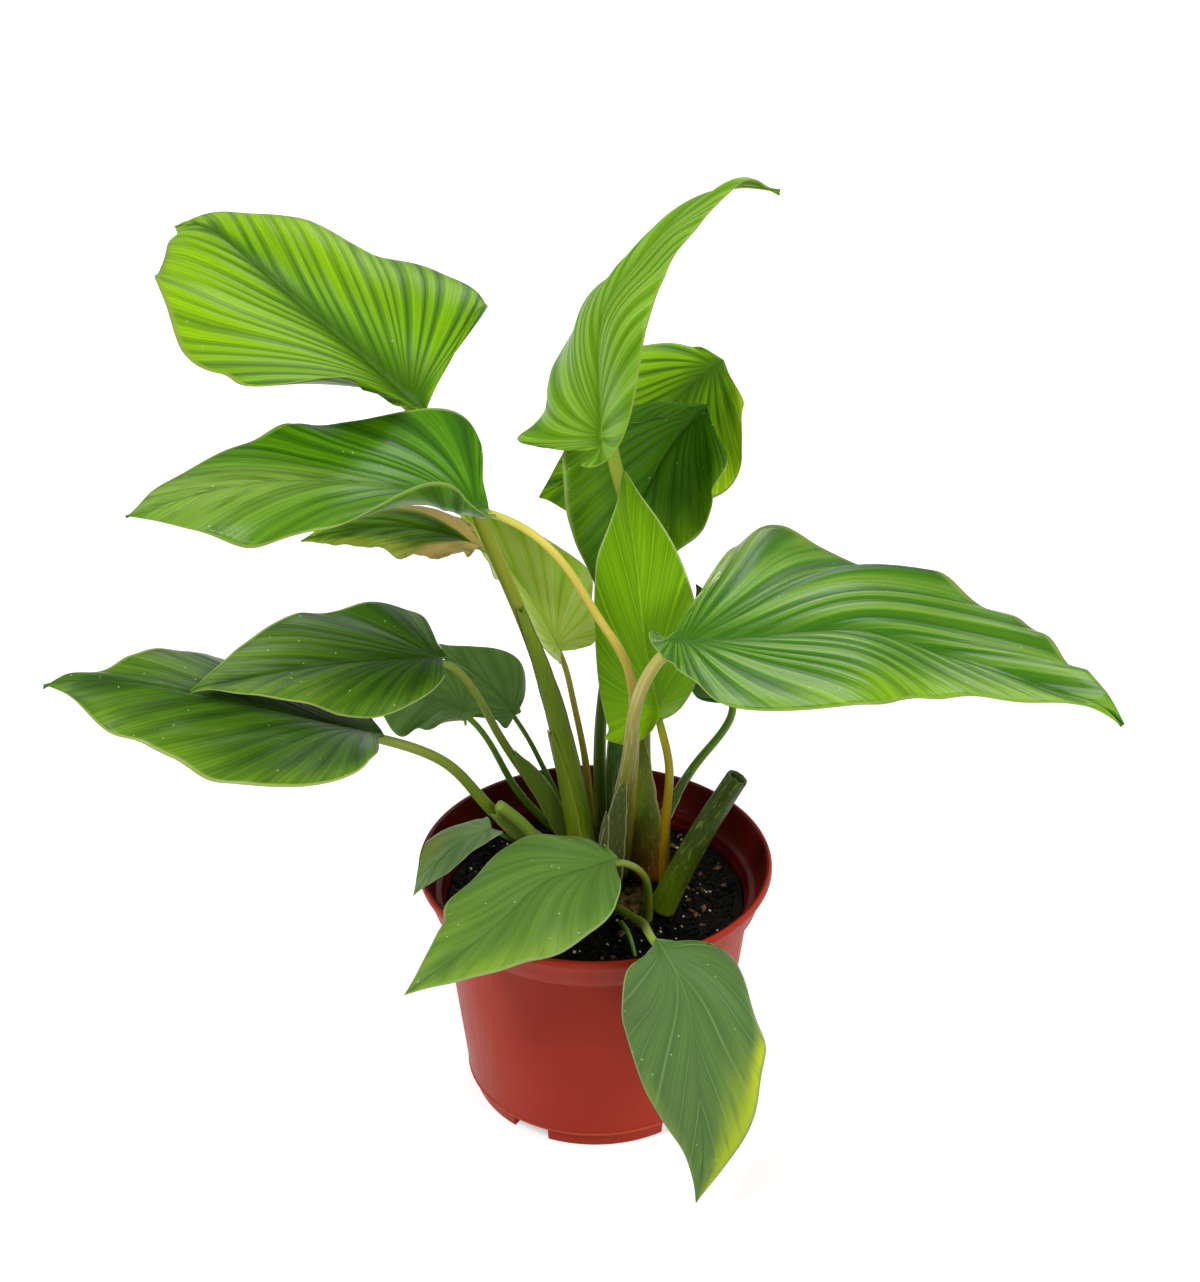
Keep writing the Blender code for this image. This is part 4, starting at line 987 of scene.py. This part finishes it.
def blade_piece(name, surface, rows, across):
    left, right = (surface.side(which, rows, across) for which in (0, 1))
    points = np.concatenate([left[:, ::-1], right[:, 1:]], 1)
    along = surface.vein_count(np.linspace(0, 1, rows + 1)) / surface.detail["veins"]
    uv = grid_uv(np.linspace(0, 1, 2 * across + 1), along)
    return grid_piece(name, points, uv, LEAF_THICK)


def petiole(name, leaf, surface, detail, girths):
    """The stalk from the soil to the blade, running on as the rib under the blade; with
    the lower part's route and radii, which the sheaths follow."""
    start, rib_side = detail.get("join", 0), detail.get("rib_side", 1)
    x = np.linspace(start + RIB_FROM, RIB_TO, RIB_POINTS)
    point, _, _, normal = surface.frame_at(x * surface.length)
    top = girths[-1]
    rib_r = top * detail.get("rib", RIB_SHARE) * (1 - x) + RIB_END_R
    below = surface.channel_depth(x) + rib_r * 1.05 + 0.2
    rib = point + surface.led(x) - normal * (rib_side * below + surface.hook(x))[:, None]
    base, tangent, _, up = surface.frame_at(np.array(start * surface.length))
    join = base - up * rib_side * (top + 0.6 + 0.8 * detail["channel"]) - tangent * top * 0.4
    lower = smooth_curve([*leaf["stalk"], join, rib[0]], STALK_STEPS)
    upper = smooth_curve([join, *rib], RIB_STEPS)
    upper = upper[np.linalg.norm(upper - join, axis=1) > np.linalg.norm(rib[0] - join) + 1]
    centre = np.concatenate([lower, upper])
    share = np.linspace(0, 1, STALK_STEPS + 1)
    stalk_r = np.interp(share, np.linspace(0, 1, len(girths)), girths)
    stalk_r = stalk_r + (rib_r[0] - stalk_r) * smooth_step(share, 0.92, 1)
    upper_r = np.interp(np.linspace(0, 1, len(upper)), np.linspace(0, 1, RIB_POINTS), rib_r)
    radius = np.concatenate([stalk_r, upper_r])
    for _ in range(STALK_SMOOTHING):
        radius[1:-1] = (radius[:-2] + 2 * radius[1:-1] + radius[2:]) / 4
    return tube(name, centre, radius), lower, stalk_r


def sheath(name, route, radii, reach, bearing, wrap, stand_off):
    """An open sheet round a stalk's foot, its edges standing off, its top notched."""
    start, end = (int(share * (len(route) - 1)) for share in reach)
    tangent = unit(np.gradient(route, axis=0))[start : end + 1]
    centre, radius = route[start : end + 1], radii[start : end + 1]
    toward = facing(bearing, 0)
    toward = unit(toward - tangent * (tangent @ toward)[:, None])
    leftward = np.cross(toward, tangent)
    rise = np.linspace(0, 1, len(centre))[:, None]
    c = np.linspace(-1, 1, 2 * SHEATH_ACROSS + 1)[None, :]
    half = np.where(c < 0, wrap[0], wrap[1])
    off = np.where(c < 0, stand_off[0], stand_off[1])
    ragged = 1 + 0.05 * np.sin(rise * 31 + np.sign(c)) + 0.03 * np.sin(rise * 67)
    angle = np.radians(c * half * (1 - SHEATH_TAPER * rise**3) * ragged)
    belly = np.sin(math.pi * np.clip(rise * 1.02, 0, 1)) ** 0.7
    lift = SHEATH_GAP + off * np.abs(c) ** 2 * belly + SHEATH_FLARE * rise**6
    out = (radius[:, None] + lift)[..., None]
    points = centre[:, None] + toward[:, None] * (np.cos(angle)[..., None] * out)
    points = points - leftward[:, None] * (np.sin(angle)[..., None] * out)
    # The top runs up to two small points with a notch between them.
    points += tangent[:, None] * (SHEATH_POINT * rise**8 * np.abs(c) ** 1.5)[..., None]
    return grid_piece(name, points, grid_uv((c[0] + 1) / 2, rise[:, 0]), SHEATH_THICK)


def leaf_pieces():
    for name, leaf in LEAVES.items():
        detail = DETAILS[name]
        look = {**LOOKS[detail["look"]], **detail.get("own", {})}
        surface = Blade(leaf, detail)
        blade = blade_piece(name + "_leaf", surface, ROWS * detail["veins"], ACROSS)
        finishes = [
            leaf_upper(name + "_waxy_upper_side", detail["veins"], look, detail.get("patches", [])),
            leaf_under(name + "_matt_under_side", detail["veins"], look),
            leaf_margin(name + "_cartilage_margin", look["margin"]),
        ]
        finish_piece(blade, finishes, [name + "_blade"])
        kind, girths = STALKS[name]
        stalk, route, radii = petiole(name + "_petiole", leaf, surface, detail, girths)
        skin = petiole_skin(name + "_fleshy_skin", *SKINS[kind])
        finish_piece(stalk, [skin], [name + "_stalk"])
        wraps = []
        for number, (reach, bearing, wrap, stand_off, colors) in enumerate(SHEATHS.get(name, [])):
            part = sheath(f"{name}_sheath_{number}", route, radii, reach, bearing, wrap, stand_off)
            part.data.materials.append(sheath_skin(f"{name}_dry_sheath_{number}", *colors))
            wraps.append(part)
        if wraps:
            join_into(stalk, wraps)


# ---------------------------------------------------------------- pot


def turned(name, profile, segments):
    """A ring extruded through a profile of (radius, height) points, as on a lathe."""
    deselect()
    radius, height = profile[0]
    bpy.ops.mesh.primitive_circle_add(vertices=segments, radius=radius * MM, location=(0, 0, height * MM))
    piece = bpy.context.object
    piece.name = piece.data.name = name
    bpy.ops.object.mode_set(mode="EDIT")
    bpy.ops.mesh.select_all(action="SELECT")
    for (r0, z0), (r1, z1) in zip(profile, profile[1:]):
        bpy.ops.mesh.extrude_region_move(TRANSFORM_OT_translate={"value": (0, 0, (z1 - z0) * MM)})
        bpy.ops.transform.resize(value=(r1 / r0, r1 / r0, 1), center_override=(0, 0, 0))
    bpy.ops.mesh.edge_face_add()
    bpy.ops.mesh.select_all(action="DESELECT")
    bpy.ops.mesh.select_non_manifold()
    bpy.ops.mesh.edge_face_add()
    bpy.ops.mesh.select_all(action="SELECT")
    bpy.ops.mesh.normals_make_consistent(inside=False)
    bpy.ops.object.mode_set(mode="OBJECT")
    bpy.ops.object.transform_apply(location=True, rotation=True, scale=True)
    return piece


def pot_profile():
    """Half a section, from the foot up the outside, over the rim and down the inside. Each
    stretch is (start radius, start height) and steps out and up from there."""
    collar_z = POT_H - COLLAR_H
    stretches = [
        ((0, 0), [(FLOOR_HOLE_R, 0), (FOOT_R - 1.2, 0), (FOOT_R - 0.3, 0.3), (FOOT_R, 1.2)]),
        ((FOOT_R, RIDGE_Z), [(0.5, -1.6)]),
        ((BODY_LOW_R, RIDGE_Z), [(-0.3, -0.6), (0.4, -0.2), (0.4, 0.3), (0, 0.9), (0.3, 3)]),
        ((BODY_TOP_R, collar_z), [(-0.6, -5), (-0.1, -1), (0.2, -0.2)]),
        ((COLLAR_R, collar_z), [(-0.6, 0), (0, 0.6), (1.2, 6)]),
        ((RIM_R, POT_H), [(-1.4, -4.4), (-0.5, -4.0), (0, -3), (0, -1.5), (-0.4, -0.5), (-1.4, 0)]),
        ((RIM_R, POT_H), [(-2.4, -0.3), (-3.0, -1.2), (-3.6, -4)]),
        ((COLLAR_R, collar_z), [(-1.0, 3), (-2.2, 1.8)]),
        ((BODY_TOP_R, collar_z), [(-0.6, 1.4), (-1.4, 0.6), (-1.7, -1), (-2.2, -3)]),
        ((BODY_TOP_R, collar_z), [(-2.6, -3.4), (-2.9, -8)]),
        ((BODY_LOW_R - WALL, FOOT_H), [(0, 1)]),
        ((FOOT_R - WALL, FOOT_H), [(0, -1)]),
        ((0, FLOOR_Z), [(FOOT_R - WALL - 1, 0), (FLOOR_HOLE_R, 0)]),
    ]
    return [(r + out, z + up) for (r, z), steps in stretches for out, up in steps]


def slot_cutter(number):
    """A box that cuts one drain slot through the corner of the foot."""
    width = 2 * FOOT_R * math.tan(math.radians(SLOT_DEG / 2)) * MM
    inner, outer = SLOT_IN_R * MM, (FOOT_R + SLOT_PAST) * MM
    deselect()
    bpy.ops.mesh.primitive_cube_add(size=1)
    cutter = bpy.context.object
    cutter.scale = (width, outer - inner, (SLOT_H + SLOT_BELOW) * MM)
    cutter.location = (0, -(inner + outer) / 2, (SLOT_H - SLOT_BELOW) / 2 * MM)
    bpy.ops.object.transform_apply(location=True, rotation=True, scale=True)
    bearing = math.radians(FIRST_SLOT_DEG + number * 360 / SLOTS)
    cutter.data.transform(Matrix.Rotation(bearing, 4, "Z"))
    return cutter


def pot_piece():
    pot = turned("nursery_pot", pot_profile(), POT_SEGMENTS)
    first, *others = [slot_cutter(number) for number in range(SLOTS)]
    cutter = join_into(first, others)
    deselect()
    bpy.context.view_layer.objects.active = pot
    pot.select_set(True)
    cut = pot.modifiers.new("Slots", "BOOLEAN")
    cut.operation, cut.object = "DIFFERENCE", cutter
    bpy.ops.object.modifier_apply(modifier="Slots")
    bpy.data.objects.remove(cutter, do_unlink=True)
    bpy.ops.object.shade_smooth_by_angle(angle=math.radians(SMOOTH_DEG))
    outside = moulded_plastic("moulded_polypropylene", "#A02A16", "#B0361F")
    # The inner finish is the same red made darker: painted shade, for the shade that falls inside the pot.
    inside = moulded_plastic("painted_shade_polypropylene", "#4A0B04", "#5E1208")
    finish_piece(pot, [outside, inside], ["pot"])
    for face in pot.data.polygons:
        outwards = face.normal.x * face.center.x + face.normal.y * face.center.y
        face.material_index = int(face.center.z > INSIDE_FROM_Z * MM and outwards < 0)


# ---------------------------------------------------------------- soil and rootstocks


def soil_height(x, y):
    """Height of the soil's lumpy surface, in mm."""
    mound = SOIL_MOUND * max(0, 1 - math.hypot(x, y) / MOUND_R)
    lumps = noise.fractal(Vector((x, y, 3)) / LUMP_WIDE, 0.7, 2.2, 4) * LUMP_HIGH
    coarse, fine = (noise.noise(Vector((x, y, seed)) / wide) * high for wide, high, seed in CRUMBS)
    return SOIL_TOP + mound + lumps + (coarse + abs(fine))


def soil_piece():
    """The lumpy top in fine rings, then down inside the wall to the pot's floor."""
    angle = np.linspace(0, 2 * math.pi, SOIL_SPOKES + 1)
    circle = [(math.cos(a), math.sin(a)) for a in angle[:-1]]
    rings = []
    for r in [0, *np.linspace(1, SOIL_R, SOIL_RINGS)]:
        ring = [(r * c, r * s, soil_height(r * c, r * s)) for c, s in circle]
        rings.append([*ring, ring[0]])
    for r, z in SOIL_SIDE:
        rings.append([(r * math.cos(a), r * math.sin(a), z) for a in angle])
    uv = grid_uv(np.linspace(0, 1, len(angle)), np.linspace(0, 1, len(rings)))
    soil = grid_piece("potting_soil", np.array(rings)[::-1], uv)
    finish_piece(soil, [damp_peat("damp_peat_mix")], ["soil"])


def lump(seed, stretch):
    """A small angular lump of a few faces."""
    deselect()
    bpy.ops.mesh.primitive_ico_sphere_add(subdivisions=1, radius=MM)
    piece = bpy.context.object
    pick = random.Random(seed)
    for vert in piece.data.vertices:
        vert.co = Vector([c * s * pick.uniform(*LUMP_UNEVEN) for c, s in zip(vert.co, stretch)])
    return piece


def scatter(name, skin, shape, count, sizes, seed):
    """Copies of a lump, each turned and sized by chance, resting on the soil as one piece."""
    finish = speckled(*skin)
    pattern = lump(*shape)
    pick = random.Random(seed)
    inner, outer = SCATTER_R
    copies = []
    for _ in range(count):
        r = math.sqrt(pick.uniform((inner / outer) ** 2, 1)) * outer
        a = pick.uniform(0, 2 * math.pi)
        x, y = r * math.cos(a), r * math.sin(a)
        size = pick.uniform(*sizes)
        copy = pattern.copy()
        copy.data = pattern.data.copy()
        spin, tilt = pick.uniform(0, 6.3), pick.uniform(-0.5, 0.5)
        turn = Matrix.Rotation(spin, 4, "Z") @ Matrix.Rotation(tilt, 4, "X")
        spot = Matrix.Translation(Vector((x, y, soil_height(x, y) + size * 0.2)) * MM)
        copy.data.transform(spot @ turn @ Matrix.Scale(size, 4))
        bpy.context.scene.collection.objects.link(copy)
        copies.append(copy)
    joined = join_into(copies[0], copies[1:])
    joined.name = joined.data.name = name
    bpy.data.objects.remove(pattern, do_unlink=True)
    finish_piece(joined, [finish], [])


def rootstock_pieces():
    bark = speckled("fibrous_rootstock_bark", "#2E2110", "#7A6236", 0.85, 260)
    for name, (centre, radii) in ROOTSTOCKS.items():
        deselect()
        bpy.ops.mesh.primitive_uv_sphere_add(segments=64, ring_count=40, radius=1)
        piece = bpy.context.object
        piece.name = piece.data.name = name + "_bark"
        for vert in piece.data.vertices:
            way = vert.co.copy()
            rough = 1 + 0.1 * noise.fractal(way * 3 + Vector(centre), 0.8, 2.1, 4)
            vert.co = Vector([(c + w * r * rough) * MM for c, w, r in zip(centre, way, radii)])
        bpy.ops.object.shade_smooth()
        finish_piece(piece, [bark], [name])


def stub_pieces():
    for name, stub in STUBS.items():
        centre = smooth_curve(stub["route"], STALK_STEPS)
        foot, top = stub["radii"]
        along = np.linspace(0, 1, STALK_STEPS + 1)
        radius = foot + (top - foot) * along**0.7
        # A cut stalk is grooved down its upper side, deeper towards the cut, and ribbed.
        angle = np.linspace(0, 2 * math.pi, STUB_SIDES + 1)[None, :]
        groove = np.exp(-(((angle - STUB_GROOVE) / 0.42) ** 2)) * smooth_step(along, 0.35, 0.75)[:, None]
        swell = 1 - 0.55 * groove * bool(stub["hollow"]) + 0.025 * np.sin(angle * 9)
        piece = tube(name + "_stem", centre, radius, STUB_SIDES, swell, stub["hollow"])
        kind = "cut" if stub["hollow"] else "dark"
        finish_piece(piece, [petiole_skin(name + "_skin", *SKINS[kind])], [name])


# ---------------------------------------------------------------- stage, light and camera


def white_paper():
    """White paper. To the eye and in gloss it is white, and it still takes the shadow."""
    paper = bpy.data.materials.new("white_paper")
    paper.use_nodes = True
    tree = paper.node_tree
    tree.nodes.clear()
    rays = add(tree, "LightPath").outputs
    seen = rays["Is Camera Ray"]
    for ray in ("Is Glossy Ray", "Is Transmission Ray"):
        seen = add(tree, "Math", {"operation": "MAXIMUM"}, {0: seen, 1: rays[ray]})
    matt = add(tree, "BsdfDiffuse", {"Color": (0.8, 0.8, 0.8, 1)})
    # Its glow grows with distance, so that far off it is as white as the world.
    far = add(tree, "VectorMath", {"operation": "LENGTH"}, {0: add(tree, "TexCoord").outputs["Object"]})
    level = add(tree, "MapRange", {1: 0.5, 2: 2.5, 3: 0.5}, {0: far})
    glow = add(tree, "Emission", {"Color": (1, 1, 1, 1)}, {"Strength": level})
    both = add(tree, "AddShader", links={0: matt, 1: glow})
    pick = add(tree, "MixShader", links={0: seen, 1: matt, 2: both})
    add(tree, "OutputMaterial", links={"Surface": pick})
    return paper


def stage():
    deselect()
    bpy.ops.mesh.primitive_plane_add(size=6)
    floor = bpy.context.object
    floor.name = "floor"
    floor.data.materials.append(white_paper())

    world = bpy.data.worlds.new("studio")
    bpy.context.scene.world = world
    world.use_nodes = True
    tree = world.node_tree
    shader = tree.nodes["Background"]
    shader.inputs["Color"].default_value = (1, 1, 1, 1)
    seen = add(tree, "LightPath").outputs["Is Camera Ray"]
    link(tree, shader, {"Strength": add(tree, "MapRange", {3: WORLD_LEVEL}, {0: seen})})


def lamp(name, place, size, watts):
    light = bpy.data.lights.new(name, "AREA")
    light.shape, light.size, light.energy = "DISK", size, watts
    lamp_object = bpy.data.objects.new(name, light)
    lamp_object.location = place
    aim = Vector(LAMPS_AIM) - Vector(place)
    lamp_object.rotation_euler = aim.to_track_quat("-Z", "Y").to_euler()
    bpy.context.scene.collection.objects.link(lamp_object)


def camera():
    eye = bpy.data.objects.new("camera", bpy.data.cameras.new("camera"))
    eye.location = CAMERA_PLACE
    eye.rotation_euler = (math.radians(90 - CAMERA_TILT_DEG), 0, 0)
    eye.data.lens = CAMERA_LENS
    eye.data.sensor_width = 36
    bpy.context.scene.collection.objects.link(eye)
    bpy.context.scene.camera = eye
    bpy.context.scene.view_settings.view_transform = "Standard"


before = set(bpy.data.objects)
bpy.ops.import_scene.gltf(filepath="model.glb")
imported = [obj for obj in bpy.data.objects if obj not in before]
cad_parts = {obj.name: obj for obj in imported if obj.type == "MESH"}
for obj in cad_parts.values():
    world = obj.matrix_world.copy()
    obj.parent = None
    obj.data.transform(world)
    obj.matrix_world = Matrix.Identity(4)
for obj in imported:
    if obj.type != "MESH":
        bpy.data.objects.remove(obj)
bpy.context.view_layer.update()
stage()
pot_piece()
soil_piece()
for bits in SOIL_BITS:
    scatter(*bits)
rootstock_pieces()
leaf_pieces()
stub_pieces()
for lamp_facts in LAMPS:
    lamp(*lamp_facts)
camera()
